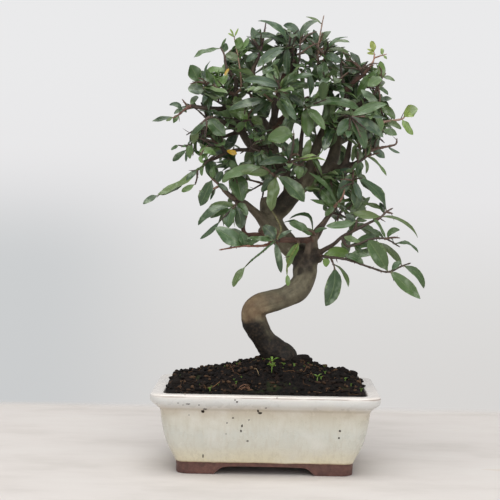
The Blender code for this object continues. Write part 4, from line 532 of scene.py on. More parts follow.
# Knots and swellings on the trunk: place in the front view with depth, half width, and flattening
KNOTS = [
    ((307, 261, 8), 0.0086, 0.8), ((317, 259, 6), 0.0042, 0.7), ((259, 307, -9), 0.0080, 0.85),
    ((270, 232, 17), 0.0086, 0.8), ((270, 366, 0), 0.0100, 0.5), ((288, 365, 0), 0.0105, 0.5),
    ((297, 367, 2), 0.0085, 0.45), ((302, 277, 0), 0.0050, 0.7)]

# Painted shade spots, warm spots and grain of the bark, painted shade in the crown, and the damp foot with
# painted shade
PAINTED_SHADE_SPOTS = [
    ((288, 199, 8), 0.0085), ((280, 207, 10), 0.006), ((294, 264, 4), 0.0065), ((297, 256, 4), 0.007),
    ((300, 249, 3), 0.0055), ((315, 258, 1), 0.0046), ((314, 250, 0), 0.0036), ((304, 262, -4), 0.0052),
    ((309, 268, -5), 0.0050), ((300, 270, -4), 0.0042)]
WARM_BARK = ((246, 309, -10), 0.017)
GRAIN_PULL = 0.07
SHADE_FROM = 0.196
SHADE_OVER = 0.022
SHADE_DEPTH = 0.32
BARK_VOXEL = 0.00073
BARK_STEP = 0.0015
BARK_SWELL = 0.13
YOUNG_GIRTH = 0.0029
OLD_GIRTH = 0.009
# Top of the dark foot, which is damp moss with painted shade under the kink, and where its edge starts to
# rise to the right
DAMP_AND_SHADE_TOP = 0.1065
DAMP_AND_SHADE_LEFT = -0.014
# Height above which painted light keeps the right-facing side of the foot lighter
LIT_FOOT = 0.088

# Crumbs, lumps and fibres on the soil, weeds, and dried specks on the glaze
SOIL_RINGS = 84
SOIL_SIDES = (96, 68)
SOIL_SHRINK = 0.0004
SOIL_DROP = 0.0006
SOIL_OUTER = 0.995
SOIL_RUN = 0.965
CALM_EDGE = (0.6, 0.9, 0.1)
SIGHT_DEPTH = -50.0
SIGHT_STEP = 0.5
SOIL_LUMPS = ((110, 0.0016), (300, 0.0011), (800, 0.0004))
CRUMB_SIZES = (0.0005, 0.0007, 0.0007, 0.0009, 0.0012, 0.0016)
FIBRE_SHADES = ("3A2A1E", "523C2A", "6A4E36", "241C17")
FIBRE_STEP = 0.0016
CRUMBS = 1500
CRUMB_SHADES = ("120F0D", "191512", "0E0C0B", "241C17", "151210", "2C211A", "1B1613", "4A3729", "5E4835")
LUMPS = [
    ((303, 358), 0.0046), ((308, 362), 0.0036), ((297, 361), 0.0034), ((352, 373), 0.0034),
    ((315, 364), 0.0026), ((343, 372), 0.0030), ((344, 377), 0.0024), ((360, 377), 0.0022),
    ((176, 383), 0.0032), ((184, 378), 0.0026), ((171, 387), 0.0026), ((200, 374), 0.0022),
    ((214, 370), 0.0020), ((236, 364), 0.0018), ((330, 368), 0.0018)]
ROOT_FIBRES = [
    ([(239, 389, 0.0006), (242, 387, 0.0013), (247, 387, 0.0016), (250, 390, 0.0008), (253, 391, 0.0003)],
        0.00026, "96705A"),
    ([(237, 391, 0.0005), (244, 389, 0.0011), (249, 389, 0.0005)], 0.0002, "7E5C46"),
    ([(241, 391, 0.0005), (246, 388, 0.0012), (249, 391, 0.0003)], 0.0002, "A07A62"),
    ([(348, 372, 0.001), (354, 375, 0.0026), (359, 380, 0.0018), (361, 385, 0.0006)], 0.00026, "6E553E"),
    ([(229, 365, 0.0008), (231, 368, 0.001), (234, 373, 0.0004)], 0.00026, "6E4C38"),
    ([(209, 390, 0.0004), (214, 386, 0.0008), (220, 384, 0.0006)], 0.00026, "8E6A4A"),
    ([(254, 368, 0.0006), (257, 372, 0.0012), (259, 377, 0.0005)], 0.00022, "A08A6A"),
]
FIBRES = 110
SMALL_WEEDS = [
    (284, 366, 0.0019), (294, 367, 0.0016), (321, 379, 0.0017), (345, 381, 0.0016), (351, 386, 0.0013),
    (236, 383, 0.0014), (210, 391, 0.0019), (361, 391, 0.0016), (325, 374, 0.0014)]
WEED_STEM = (0.00045, 0.0004, 0.0003)
WEED_SHADES = ("5E7E2E", "6C8A36", "7C9640", "54722C")
TWO_TIERS = 0.006
MOSS_TUFTS = 50
MOSS_BLADE = (0.00022, 0.00006)
MOSS_SHADES = ("56702C", "6C8A38", "445A24")
SPLASHES = [
    (203, 411, 3.6, 4.6), (205, 409, 4.0, 2.0), (258, 411, 1.8, 6.0), (260, 413, 4.0, 2.2),
    (242, 426, 1.6, 3.0), (241, 431, 1.6, 2.6), (237, 402, 2.0, 1.4), (227, 423, 1.4, 1.2),
    (248, 441, 1.6, 1.2), (340, 431, 2.2, 2.2), (339, 438, 2.0, 1.8), (203, 456, 1.2, 5.0),
    (188, 404, 4.4, 1.2), (199, 405, 2.0, 1.2), (266, 408, 2.0, 1.6), (233, 418, 2.4, 1.2),
    (249, 420, 1.6, 1.0), (185, 395, 1.4, 1.2), (278, 396, 1.6, 1.0), (162, 425, 1.2, 1.0),
    (178, 403, 1.6, 0.9), (183, 405, 1.2, 0.9), (235, 400, 1.4, 1.2), (199, 393, 1.4, 1.0),
    (277, 398, 1.2, 0.9), (247, 441, 1.3, 1.2), (226, 434, 1.0, 1.0), (189, 415, 1.2, 0.8)]

# The table's back edge, and the lights: name, place, size and power
TABLE_BACK = 0.27
TABLE_HALF = 0.9
FLOOR_REACH = 3.0
SENSOR = 36.0
LIGHT_AIM = Vector((0, 0, 0.12))
ROOM_RADIUS = 40.0
ROOM_LIGHT = 0.66
LIGHTS = [
    ("overhead", (-0.1, -0.5, 1.8), 1.5, 24.0), ("front fill", (0.3, -2.0, 0.9), 1.4, 12.0)]


def eye_axes():
    """The eye's level way to the right, its way ahead, and its way up, before it rolls."""
    right = Vector((math.cos(EYE_TURN), math.sin(EYE_TURN), 0.0))
    level = Vector((-math.sin(EYE_TURN), math.cos(EYE_TURN), 0.0))
    up = Vector((0.0, 0.0, 1.0))
    ahead = level * math.cos(EYE_DIP) - up * math.sin(EYE_DIP)
    above = level * math.sin(EYE_DIP) + up * math.cos(EYE_DIP)
    return right, ahead, above


def seen(across, down, depth):
    """The place, so many millimetres behind the pot's middle, that shows there in the front view."""
    right, ahead, above = eye_axes()
    a = (across - VIEW_MIDDLE) / VIEW_FOCUS
    b = (down - VIEW_MIDDLE) / VIEW_FOCUS
    sideways = math.cos(EYE_ROLL) * a + math.sin(EYE_ROLL) * b
    downward = math.cos(EYE_ROLL) * b - math.sin(EYE_ROLL) * a
    sight = ahead + right * sideways - above * downward
    return EYE + sight * ((depth * MM - EYE.y) / sight.y) + POT_MIDDLE


def shown(place):
    """The across and down of a place in the front view, the inverse of seen()."""
    offset = place - POT_MIDDLE - EYE
    along = offset.x * math.cos(EYE_TURN) + offset.y * math.sin(EYE_TURN)
    level = offset.y * math.cos(EYE_TURN) - offset.x * math.sin(EYE_TURN)
    ahead = level * math.cos(EYE_DIP) - offset.z * math.sin(EYE_DIP)
    above = level * math.sin(EYE_DIP) + offset.z * math.cos(EYE_DIP)
    a = along / ahead
    b = -above / ahead
    across = math.cos(EYE_ROLL) * a - math.sin(EYE_ROLL) * b
    down = math.sin(EYE_ROLL) * a + math.cos(EYE_ROLL) * b
    return VIEW_MIDDLE + VIEW_FOCUS * across, VIEW_MIDDLE + VIEW_FOCUS * down


def tube(points, radii, sides):
    """Vertices and faces of a closed tube along the points, its rings carried without twist."""
    count = len(points)
    tangents = []
    for i in range(count):
        tangents.append((points[min(i + 1, count - 1)] - points[max(i - 1, 0)]).normalized())
    side = tangents[0].orthogonal().normalized()
    vertices = []
    for i in range(count):
        side = (side - tangents[i] * side.dot(tangents[i])).normalized()
        over = tangents[i].cross(side)
        for k in range(sides):
            angle = 2 * math.pi * k / sides
            vertices.append(points[i] + (side * math.cos(angle) + over * math.sin(angle)) * radii[i])
    faces = [tuple(reversed(range(sides)))]
    for i in range(count - 1):
        for k in range(sides):
            a = i * sides + k
            b = i * sides + (k + 1) % sides
            faces.append((a, b, b + sides, a + sides))
    faces.append(tuple(range((count - 1) * sides, count * sides)))
    return vertices, faces


def blade(leaf, start=0.0, swell=0.0):
    """Vertices and faces of one leaf: a thin blade folded along its midrib, bowed as it grew."""
    length = (leaf.tip - leaf.base).length
    stations = LONG_STATIONS if length > LONG_BLADE else SHORT_STATIONS
    half = leaf.width / 2 + swell
    thick = BLADE_THICKNESS / 2 + swell

    def middle(t):
        return leaf.base + (leaf.tip - leaf.base) * t + leaf.bulge * (4 * t * (1 - t))

    sink = (leaf.base - leaf.tip).normalized() * ROOT_SINK if start == 0 else Vector()
    vertices = [middle(start) + sink]
    for t, share in stations:
        t = max(t, start + 0.1)
        along = (middle(t + 0.05) - middle(t - 0.05)).normalized()
        normal = (leaf.normal - along * leaf.normal.dot(along)).normalized()
        across = normal.cross(along)
        centre = middle(t)
        lift = normal * (half * share * BLADE_FOLD + swell)
        vertices.append(centre + across * (half * share) + lift)
        vertices.append(centre - across * (half * share) + lift)
        vertices.append(centre - normal * thick)
    vertices.append(middle(1.0))
    last = len(vertices) - 1
    faces = []
    for k in range(3):
        n = (k + 1) % 3
        faces.append((0, 1 + n, 1 + k))
        faces.append((last, last - 3 + k, last - 3 + n))
    for row in range(len(stations) - 1):
        for k in range(3):
            n = (k + 1) % 3
            a = 1 + row * 3
            faces.append((a + k, a + n, a + 3 + n))
            faces.append((a + k, a + 3 + n, a + 3 + k))
    return vertices, faces


def tree_of(mesh):
    """A search tree of a mesh's triangles and polygons, to test what it touches."""
    vertices, faces = mesh
    return BVHTree.FromPolygons(vertices, faces)


def limb_paths():
    """Name, number of sides, centre line and radii of each limb."""
    paths = []
    for name, sides, stations in LIMBS:
        points = [seen(u, v, d) for u, v, d, _ in stations]
        radii = [w * STEP / 2 for _, _, _, w in stations]
        paths.append((name, sides, points, radii))
    return paths


def along_line(points):
    """Places along the straight runs from point to point."""
    for a, b in zip(points, points[1:]):
        for k in range(RUN_STEPS + 1):
            yield a.lerp(b, k / RUN_STEPS)


def nearest_on(points, place):
    """The point of a twig's line nearest to a place in the front view, short of the twig's end."""
    def gap(point):
        u, v = shown(point)
        return (u - place[0]) ** 2 + (v - place[1]) ** 2

    last = points[-1] + (points[-2] - points[-1]).normalized() * TWIG_END
    return min(along_line(points[:-1] + [last]), key=gap)


def nearest_axis(limbs, place):
    """The point on the limbs' centre lines nearest to a place."""
    spots = (point for _, _, points, _ in limbs for point in along_line(points))
    return min(spots, key=lambda point: (point - place).length)


def bark_spot(path, limbs, wood):
    """Where a twig that starts at the path's head leaves the bark, and its way into the limb."""
    inward = (nearest_axis(limbs, path[0]) - path[1]).normalized()
    hits = [tree.ray_cast(path[1], inward) for tree in wood]
    spot, _, _, _ = min((hit for hit in hits if hit[0] is not None), key=lambda hit: hit[3])
    return spot, inward


def clear_way(path, radii, wood, grown):
    """Whether a twig keeps its seat gap to the bark and clears the twigs of other sprays."""
    behind = path[0] + (path[0] - path[1]).normalized() * SEAT_GAP
    guard = tree_of(tube([behind] + path[1:], [r + SEAT_GAP for r in radii], TWIG_SIDES))
    return not any(guard.overlap(tree) for tree in wood + grown)


def fan(name, start):
    """Routes of a fan of twigs by rule: one outward from a branch's end, and three that fork off it."""
    chance = random.Random(name + " fan")
    root = seen(*start)
    out = (root - seen(*CANOPY_MIDDLE)).normalized() + FAN_RISE
    out.normalize()
    side = out.orthogonal().normalized()
    over = out.cross(side)
    turn = chance.uniform(0, 2 * math.pi)
    fork = root + out * FAN_FORK
    lines = [[root, fork, root + (out + side * chance.uniform(-FAN_SWAY, FAN_SWAY)) * FAN_REACH]]
    for k in range(FAN_SPOKES):
        angle = turn + 2 * math.pi * k / FAN_SPOKES + chance.uniform(-FAN_SWAY, FAN_SWAY)
        aim = out * FAN_OUT + side * math.cos(angle) + over * math.sin(angle)
        lines.append([fork + out * (FAN_STEP * k), fork + aim * (FAN_REACH * chance.uniform(*FAN_SHARE))])
    return [[(*shown(p), (p.y - POT_MIDDLE.y) / MM) for p in line] for line in lines]


def twigs_of(name, routes, limbs, wood, grown):
    """The spray's twigs, moved along the sight line until they clear what is there."""
    twigs = []
    others = [tree for owner, tree in grown if owner != name]
    if len(routes[0]) == 1:
        routes = fan(name, routes[0][0])
    for index, route in enumerate(routes):
        thick = TWIG_RADIUS if index == 0 else FORK_RADIUS
        radii = [thick + (TIP_RADIUS - thick) * i / (len(route) - 1) for i in range(len(route))]
        path = None
        for shift in TWIG_SHIFTS:
            trial = [seen(*route[0])] + [seen(u, v, d + shift) for u, v, d in route[1:]]
            if index == 0:
                spot, inward = bark_spot(trial, limbs, wood)
                starts = [spot - inward * (SEAT_STEP * k) for k in range(1, SEAT_TRIALS + 1)]
            else:
                starts = [nearest_on(twigs[0].points, route[0][:2])]
            ways = [[start] + trial[1:] for start in starts]
            path = next((way for way in ways if clear_way(way, radii, wood, others)), None)
            if path:
                break
        if path is None:
            print(f"twig {index} of {name} found no clear way")
            continue
        twigs.append(Twig(path, radii))
        grown.append((name, tree_of(tube(path, [r + CLEARANCE for r in radii], 6))))
    return twigs


def drawn_leaf(row, twigs, shift, chance):
    """A leaf that the front view shows, turned so that it shows at its width."""
    bu, bv, tu, tv, seen_width, bow = row
    roots = [nearest_on(twig.points, (bu, bv)) for twig in twigs]
    base = min(roots, key=lambda root: math.dist(shown(root), (bu, bv)))
    depth = (base.y - POT_MIDDLE.y) / MM
    span = math.dist((bu, bv), (tu, tv))
    tip = seen(tu, tv, depth + span * STEP / MM * chance.uniform(*TIP_DEPTHS) + shift)
    length = (tip - base).length
    rise_u, rise_v = (tv - bv) / span, (bu - tu) / span
    steep = abs(tv - bv) > abs(tu - bu)
    if (steep and rise_u < 0) or (not steep and rise_v > 0):
        rise_u, rise_v = -rise_u, -rise_v
    middle = ((bu + tu) / 2 + rise_u * bow, (bv + tv) / 2 + rise_v * bow)
    mean_depth = ((base.y + tip.y) / 2 - POT_MIDDLE.y) / MM
    bulge = seen(middle[0], middle[1], mean_depth) - (base + tip) / 2
    axis = (tip - base).normalized()
    facing = EYE + POT_MIDDLE - (base + tip) / 2
    facing = (facing - axis * facing.dot(axis)).normalized()
    showing = seen_width * STEP
    least = BROAD_LEAF if showing > EDGE_ON * length else NARROW_LEAF
    width = max(showing * SEEN_TURN, least * length)
    roll = math.acos(min(1.0, showing / width))
    turned = axis.cross(facing) * math.sin(roll)
    if turned.z < 0:
        turned = -turned
    normal = facing * math.cos(roll) + turned
    bulge += normal * (length * chance.uniform(*DRAWN_BULGE))
    return Leaf(base, tip, bulge, normal, width)


def rule_leaf(index, twigs, chance):
    """A leaf set by rule: in pairs up the twig, out and up, its face to the light."""
    twig = twigs[index % len(twigs)]
    share = PAIR_FROM + PAIR_SPAN * ((index // 2 * PAIR_STEP + chance.uniform(0, 0.25)) % 1.0)
    place = share * (len(twig.points) - 1)
    at = min(int(place), len(twig.points) - 2)
    base = twig.points[at].lerp(twig.points[at + 1], place - at)
    along = (twig.points[at + 1] - twig.points[at]).normalized()
    outward = (base - seen(*CANOPY_MIDDLE)).normalized()
    side = along.orthogonal().normalized()
    over = along.cross(side)
    angle = index * SPIRAL + chance.uniform(-0.5, 0.5) + math.pi * chance.randrange(2)
    spoke = side * math.cos(angle) + over * math.sin(angle)
    aim = along * RULE_LEAN + spoke + outward * RULE_LEAN
    aim += Vector((0, 0, chance.uniform(-0.45, 0.3)))
    aim.normalize()
    length = chance.uniform(*RULE_LENGTHS)
    width = length * chance.uniform(*RULE_WIDTHS)
    facing = Vector((chance.uniform(-0.5, 0.5), chance.uniform(-0.5, 0.5), 0.9)) + outward * 0.8
    normal = (facing - aim * facing.dot(aim)).normalized()
    bulge = normal * (length * chance.uniform(*RULE_BULGE))
    return Leaf(base, base + aim * length, bulge, normal, width)


def inside_canopy(leaf):
    """Whether a leaf keeps within the canopy's outline and off its gaps in the front view."""
    for t in CANOPY_TESTS:
        u, v = shown(leaf.base.lerp(leaf.tip, t))
        if any((u - gu) ** 2 + (v - gv) ** 2 < (r + GAP_MARGIN) ** 2 for gu, gv, r in GAPS):
            return False
        inside = False
        for (au, av), (bu, bv) in zip(CANOPY, CANOPY[1:] + CANOPY[:1]):
            if (av > v) != (bv > v) and u < au + (v - av) * (bu - au) / (bv - av):
                inside = not inside
        if not inside:
            return False
    return True


def cell_of(place):
    """The small square of the front view that a place shows in."""
    u, v = shown(place)
    return int(u // COVER_CELL), int(v // COVER_CELL)


def kept_in_sight(limbs, leaves):
    """How near each square of the front view shows a drawn leaf or bare wood."""
    cells = {}

    def note(place):
        cell = cell_of(place)
        cells[cell] = min(place.y, cells.get(cell, place.y))

    for found in leaves.values():
        for leaf in found:
            across = leaf.normal.cross(leaf.tip - leaf.base).normalized() * leaf.width
            for k in range(2, 11):
                for side in (-0.35, 0.0, 0.35):
                    bow = leaf.bulge * (0.04 * k * (10 - k))
                    note(leaf.base.lerp(leaf.tip, k / 10) + bow + across * side)
    paths = {name: points for name, _, points, _ in limbs}
    for name, top, bottom in BARE_WOOD:
        for place in along_line(paths[name]):
            if top <= shown(place)[1] <= bottom:
                note(place)
    return cells


def hides(leaf, cells):
    """Whether a leaf would stand in front of what the front view keeps in sight."""
    across = leaf.normal.cross(leaf.tip - leaf.base).normalized() * leaf.width
    for t in HIDE_TESTS:
        for side in (-0.3, 0.3):
            place = leaf.base.lerp(leaf.tip, t) + across * side
            if place.y < cells.get(cell_of(place), -1.0):
                return True
    return False


def clear_of(leaf, name, wood, grown, placed):
    """Whether a leaf keeps clear of the wood, of other sprays, and of its own spray's blades."""
    whole = tree_of(blade(leaf, 0.0, CLEARANCE))
    outer = tree_of(blade(leaf, OUTER_BLADE, CLEARANCE))
    middle = (leaf.base + leaf.tip) / 2
    reach = (leaf.tip - leaf.base).length / 2
    if any(whole.overlap(tree) for tree in wood):
        return False
    for owner, tree in grown:
        if owner != name and whole.overlap(tree):
            return False
    for owner, other_middle, other_reach, full, far in placed:
        if (middle - other_middle).length > reach + other_reach + NEAR_LEAVES:
            continue
        if owner == name:
            if outer.overlap(far):
                return False
        elif whole.overlap(full):
            return False
    placed.append((name, middle, reach, tree_of(blade(leaf)), tree_of(blade(leaf, OUTER_BLADE))))
    return True


def set_drawn(name, row, seed, twigs, found, wood, grown, placed):
    """Adds a leaf that the front view shows, moved in depth until it is clear."""
    for shift in LEAF_SHIFTS:
        leaf = drawn_leaf(row, twigs[name], shift, random.Random(seed))
        if clear_of(leaf, name, wood, grown, placed):
            found[name].append(leaf)
            return
    print("no clear place for leaf", seed)


def fits(leaf, name, cells, wood, grown, placed):
    """Whether a leaf set by rule keeps to the canopy, hides nothing and is clear."""
    if not inside_canopy(leaf) or hides(leaf, cells):
        return False
    return clear_of(leaf, name, wood, grown, placed)


def grow():
    """The limbs, all twigs, the leaves of the plan, and the small ones that only the looks have."""
    limbs = limb_paths()
    wood = [tree_of(tube(points, radii, sides)) for _, sides, points, radii in limbs]
    grown = []
    twigs = {}
    for name, routes, _, _ in SPRAYS:
        twigs[name] = twigs_of(name, routes, limbs, wood, grown)
    placed = []
    leaves = {name: [] for name, _, _, _ in SPRAYS}
    for name, _, rows, _ in SPRAYS:
        for index, row in enumerate(rows):
            set_drawn(name, row, f"{name} {index}", twigs, leaves, wood, grown, placed)
    cells = kept_in_sight(limbs, leaves)
    for name, _, _, count in SPRAYS:
        for index in range(count):
            chance = random.Random(f"{name} rule {index}")
            for _ in range(RULE_TRIALS):
                leaf = rule_leaf(index, twigs[name], chance)
                if fits(leaf, name, cells, wood, grown, placed):
                    leaves[name].append(leaf)
                    break
    side = add_small_twigs(twigs, wood, grown)
    every = {name: twigs[name] + side[name] for name in twigs}
    small = {name: [] for name in every}
    add_fill_leaves(every, cells, wood, grown, placed, small)
    add_small_leaves(every, cells, wood, grown, placed, small)
    return limbs, every, leaves, small


def spoke_of(way, chance):
    """A way square to another, turned about it by a draw."""
    return Matrix.Rotation(chance.uniform(0, 6.28), 3, way) @ way.orthogonal().normalized()


def add_small_twigs(twigs, wood, grown):
    """Short side twigs by rule, so that the small leaves spread through the canopy."""
    found = {}
    for name, own in twigs.items():
        found[name] = []
        others = [tree for owner, tree in grown if owner != name]
        for index in range(0 if name in OPEN_SPRAYS else SMALL_TWIGS):
            chance = random.Random(f"{name} side twig {index}")
            for _ in range(SMALL_TRIALS):
                twig = own[chance.randrange(len(own))]
                at = chance.randrange(len(twig.points) - 1)
                start = twig.points[at].lerp(twig.points[at + 1], chance.uniform(0.3, 0.9))
                along = (twig.points[at + 1] - twig.points[at]).normalized()
                spoke = spoke_of(along, chance)
                aim = (along * 0.6 + spoke + Vector((0, 0, chance.uniform(-0.3, 0.5)))).normalized()
                reach = chance.uniform(*SIDE_TWIG_REACH)
                bend = Vector((chance.uniform(-1, 1), chance.uniform(-1, 1), chance.uniform(-0.2, 1)))
                bend = bend * (reach * 0.12)
                path = [start, start + aim * (reach * 0.5) + bend, start + aim * reach]
                radii = SIDE_TWIG_RADII
                guard = [path[0] + aim * 0.001] + path[1:]
                guard = tree_of(tube(guard, [r + CLEARANCE for r in radii], 5))
                if not inside_canopy(Leaf(path[0], path[2], bend, aim, 0.001)):
                    continue
                if any(guard.overlap(tree) for tree in wood + others):
                    continue
                found[name].append(Twig(path, radii))
                grown.append((name, guard))
                break
    return found


def add_small_leaves(twigs, cells, wood, grown, placed, found):
    """Smaller leaves by rule between the plan's own, for the density of the real canopy."""
    for index, (name, row) in enumerate(SHOWN_LEAVES):
        set_drawn(name, row, f"shown {index}", twigs, found, wood, grown, placed)
    for name in twigs:
        for index in range(SMALL_LEAVES_OPEN if name in OPEN_SPRAYS else SMALL_LEAVES):
            chance = random.Random(f"{name} small {index}")
            for _ in range(SMALL_TRIALS):
                leaf = rule_leaf(index, twigs[name], chance)
                share = chance.uniform(*SMALL_SHARE)
                span = leaf.tip - leaf.base
                leaf = Leaf(leaf.base, leaf.base + span * share, leaf.bulge * share, leaf.normal,
                            leaf.width * share * SMALL_SLIM)
                if fits(leaf, name, cells, wood, grown, placed):
                    found[name].append(leaf)
                    break


def add_fill_leaves(twigs, cells, wood, grown, placed, found):
    """Leaves by rule that close the places where the real canopy is thick."""
    for index, (across, down) in enumerate(FILL):
        chance = random.Random(f"fill {index}")
        near = []
        for name, own in twigs.items():
            for twig in own:
                for a, b in zip(twig.points, twig.points[1:]):
                    if math.dist(shown(a.lerp(b, 0.5)), (across, down)) < FILL_NEAR:
                        near.append((name, a, b))
        for _ in range(FILL_TRIALS if near else 0):
            name, a, b = near[chance.randrange(len(near))]
            base = a.lerp(b, chance.uniform(0.1, 0.95))
            depth = (base.y - POT_MIDDLE.y) / MM + chance.uniform(-8, 8)
            aim = seen(across + chance.uniform(-3, 3), down + chance.uniform(-3, 3), depth) - base
            if not FILL_AIM[0] < aim.length < FILL_AIM[1]:
                continue
            tip = base + aim.normalized() * max(FILL_LENGTH[0], min(FILL_LENGTH[1], aim.length * 1.8))
            length = (tip - base).length
            facing = Vector((chance.uniform(-0.6, 0.6), chance.uniform(-1.2, 0.2), 0.8))
            normal = (facing - aim * (facing.dot(aim) / aim.length_squared)).normalized()
            bulge = normal * (length * chance.uniform(*RULE_BULGE))
            leaf = Leaf(base, tip, bulge, normal, length * chance.uniform(0.27, 0.36))
            if fits(leaf, name, cells, wood, grown, placed):
                found[name].append(leaf)
                break


def clamped(value):
    """The value, kept between none and all."""
    return max(0.0, min(1.0, value))


def linear(code):
    """A colour written as six hexadecimal digits, turned into the linear values that shaders use."""
    values = [int(code[k:k + 2], 16) / 255 for k in (0, 2, 4)]
    return tuple(v / 12.92 if v <= 0.04045 else ((v + 0.055) / 1.055) ** 2.4 for v in values) + (1.0,)


class Look:
    """A procedural material: short calls that add its nodes and join them."""

    def __init__(self, name, roughness, specular=0.5, coat=0.0):
        self.made = bpy.data.materials.new(name)
        self.made.use_nodes = True
        self.tree = self.made.node_tree
        self.shader = self.tree.nodes["Principled BSDF"]
        self.shader.inputs["Roughness"].default_value = roughness
        self.shader.inputs["Specular IOR Level"].default_value = specular
        self.shader.inputs["Coat Weight"].default_value = coat
        self.shader.inputs["Coat Roughness"].default_value = 0.12
        self.place = self.node("ShaderNodeTexCoord").outputs["Object"]

    def node(self, kind, **settings):
        made = self.tree.nodes.new(kind)
        for key, value in settings.items():
            setattr(made, key, value)
        return made

    def put(self, socket, value):
        if isinstance(value, bpy.types.NodeSocket):
            self.tree.links.new(value, socket)
        else:
            socket.default_value = value

    def part_of(self, vector, axis):
        split = self.node("ShaderNodeSeparateXYZ")
        self.put(split.inputs[0], vector)
        return split.outputs[axis]

    def stretched(self, scale):
        made = self.node("ShaderNodeMapping")
        self.put(made.inputs["Vector"], self.place)
        made.inputs["Scale"].default_value = scale
        return made.outputs[0]

    def noise(self, scale, detail=3.0, roughness=0.55, vector=None):
        made = self.node("ShaderNodeTexNoise")
        self.put(made.inputs["Vector"], vector or self.place)
        made.inputs["Scale"].default_value = scale
        made.inputs["Detail"].default_value = detail
        made.inputs["Roughness"].default_value = roughness
        return made.outputs["Fac"]

    def cells(self, scale):
        made = self.node("ShaderNodeTexVoronoi")
        self.put(made.inputs["Vector"], self.place)
        made.inputs["Scale"].default_value = scale
        return made.outputs["Distance"]

    def sum(self, operation, first, second=0.0, third=0.0):
        made = self.node("ShaderNodeMath", operation=operation)
        for socket, value in zip(made.inputs, (first, second, third)):
            self.put(socket, value)
        return made.outputs[0]

    def times(self, first, second):
        return self.sum("MULTIPLY", first, second)

    def band(self, value, low, high, start=0.0, end=1.0):
        made = self.node("ShaderNodeMapRange", interpolation_type="SMOOTHSTEP")
        for key, number in zip(("Value", "From Min", "From Max", "To Min", "To Max"),
                               (value, low, high, start, end)):
            self.put(made.inputs[key], number)
        return made.outputs[0]

    def ramp(self, value, stops):
        made = self.node("ShaderNodeValToRGB")
        self.put(made.inputs[0], value)
        steps = made.color_ramp.elements
        while len(steps) < len(stops):
            steps.new(0.5)
        for step, (at, code) in zip(steps, stops):
            step.position = at
            step.color = linear(code)
        return made.outputs[0]

    def mix(self, share, first, second):
        made = self.node("ShaderNodeMix", data_type="RGBA")
        self.put(made.inputs[0], share)
        for socket, value in ((made.inputs[6], first), (made.inputs[7], second)):
            self.put(socket, linear(value) if isinstance(value, str) else value)
        return made.outputs[2]

    def attribute(self, name, output="Color"):
        return self.node("ShaderNodeAttribute", attribute_name=name).outputs[output]

    def finish(self, colour, roughness=None, heights=()):
        """Joins the colour, the gloss and the relief, a list of (height, strength, distance)."""
        self.put(self.shader.inputs["Base Color"], colour)
        if roughness is not None:
            self.put(self.shader.inputs["Roughness"], roughness)
        relief = None
        for height, strength, distance in heights:
            made = self.node("ShaderNodeBump")
            made.inputs["Strength"].default_value = strength
            made.inputs["Distance"].default_value = distance
            self.put(made.inputs["Height"], height)
            if relief:
                self.put(made.inputs["Normal"], relief)
            relief = made.outputs[0]
        if relief:
            self.put(self.shader.inputs["Normal"], relief)
        return self.made


def glaze_look():
    """Cream glaze that pools, streaks and specks, over a brown clay foot it leaves bare."""
    look = Look("cream_glaze", 0.3, coat=0.35)
    height = look.part_of(look.place, 2)
    drift = look.sum("MULTIPLY_ADD", look.noise(28, 2), 0.006, -0.003)
    level = look.sum("DIVIDE", look.sum("ADD", height, drift), POT_HEIGHT)
    zones = look.ramp(level, [
        (0.14, "D9CFB2"), (0.20, "E3DCC3"), (0.27, "DFDAC6"), (0.36, "D3D2C6"), (0.52, "CFD0C7"),
        (0.66, "CFCCBE"), (0.76, "C9C1AF"), (0.81, "C8BFAF"), (0.86, "CFCCC6"), (0.9, "D6D7D5"),
        (0.95, "D9D9D6"), (1.0, "E6DED6")])
    streaks = look.noise(1.0, 4, 0.6, look.stretched((520, 520, 26)))
    wall = look.band(height, 0.0455, 0.0475, 1.0, 0.08)
    streaks = look.times(look.band(streaks, 0.42, 0.72, 0.0, 0.3), wall)
    colour = look.mix(streaks, zones, "BBB19D")
    clouds = look.noise(34, 5, 0.62)
    colour = look.mix(look.band(clouds, 0.48, 0.75, 0.0, 0.55), colour, "E6E5DE")
    grain = look.noise(1900, 2, 0.7)
    colour = look.mix(look.band(grain, 0.56, 0.74, 0.0, 0.34), colour, "A9A392")
    pits = look.band(look.cells(430), 0.0, 0.11, 1.0, 0.0)
    pits = look.times(pits, look.band(look.noise(70, 2), 0.56, 0.66))
    colour = look.mix(look.times(pits, 0.7), colour, "6A5D4E")
    rim = look.sum("ABSOLUTE", look.sum("SUBTRACT", height, 0.0553))
    rim = look.times(look.band(rim, 0.0001, 0.0006, 1.0, 0.0),
                   look.band(look.noise(60, 3), 0.35, 0.6, 0.25, 0.9))
    colour = look.mix(rim, colour, "9B8A80")
    # Painted shade: a soft darker band in the hollow under the lip
    painted_shade_under_lip = look.sum("ABSOLUTE", look.sum("SUBTRACT", height, 0.0462))
    colour = look.mix(look.times(look.band(painted_shade_under_lip, 0.0, 0.0016, 1.0, 0.0), 0.35), colour, "A79B86")
    edge = look.sum("ADD", height, look.sum("MULTIPLY_ADD", look.noise(90, 3), 0.0016, -0.0008))
    thin = look.band(edge, FOOT_BAND, FOOT_BAND + 0.0012, 0.75, 0.0)
    colour = look.mix(thin, colour, "B39A78")
    clay = look.ramp(look.noise(260, 6, 0.7), [(0.3, "4C322B"), (0.5, "62413A"), (0.72, "795347")])
    clay = look.mix(look.band(look.noise(42, 3), 0.5, 0.72, 0.0, 0.5), clay, "4A3230")
    bare = look.band(edge, FOOT_BAND - 0.00012, FOOT_BAND + 0.00012, 1.0, 0.0)
    colour = look.mix(bare, colour, clay)
    dull = look.mix(look.band(clouds, 0.3, 0.8), (0.2, 0.2, 0.2, 1), (0.42, 0.42, 0.42, 1))
    dull = look.mix(bare, dull, (0.86, 0.86, 0.86, 1))
    ripple = look.noise(75, 3)
    sand = look.times(look.noise(1500, 3, 0.7), bare)
    return look.finish(colour, dull, [(ripple, 0.35, 0.0008), (sand, 0.5, 0.0004), (bare, 0.6, -0.0003)])


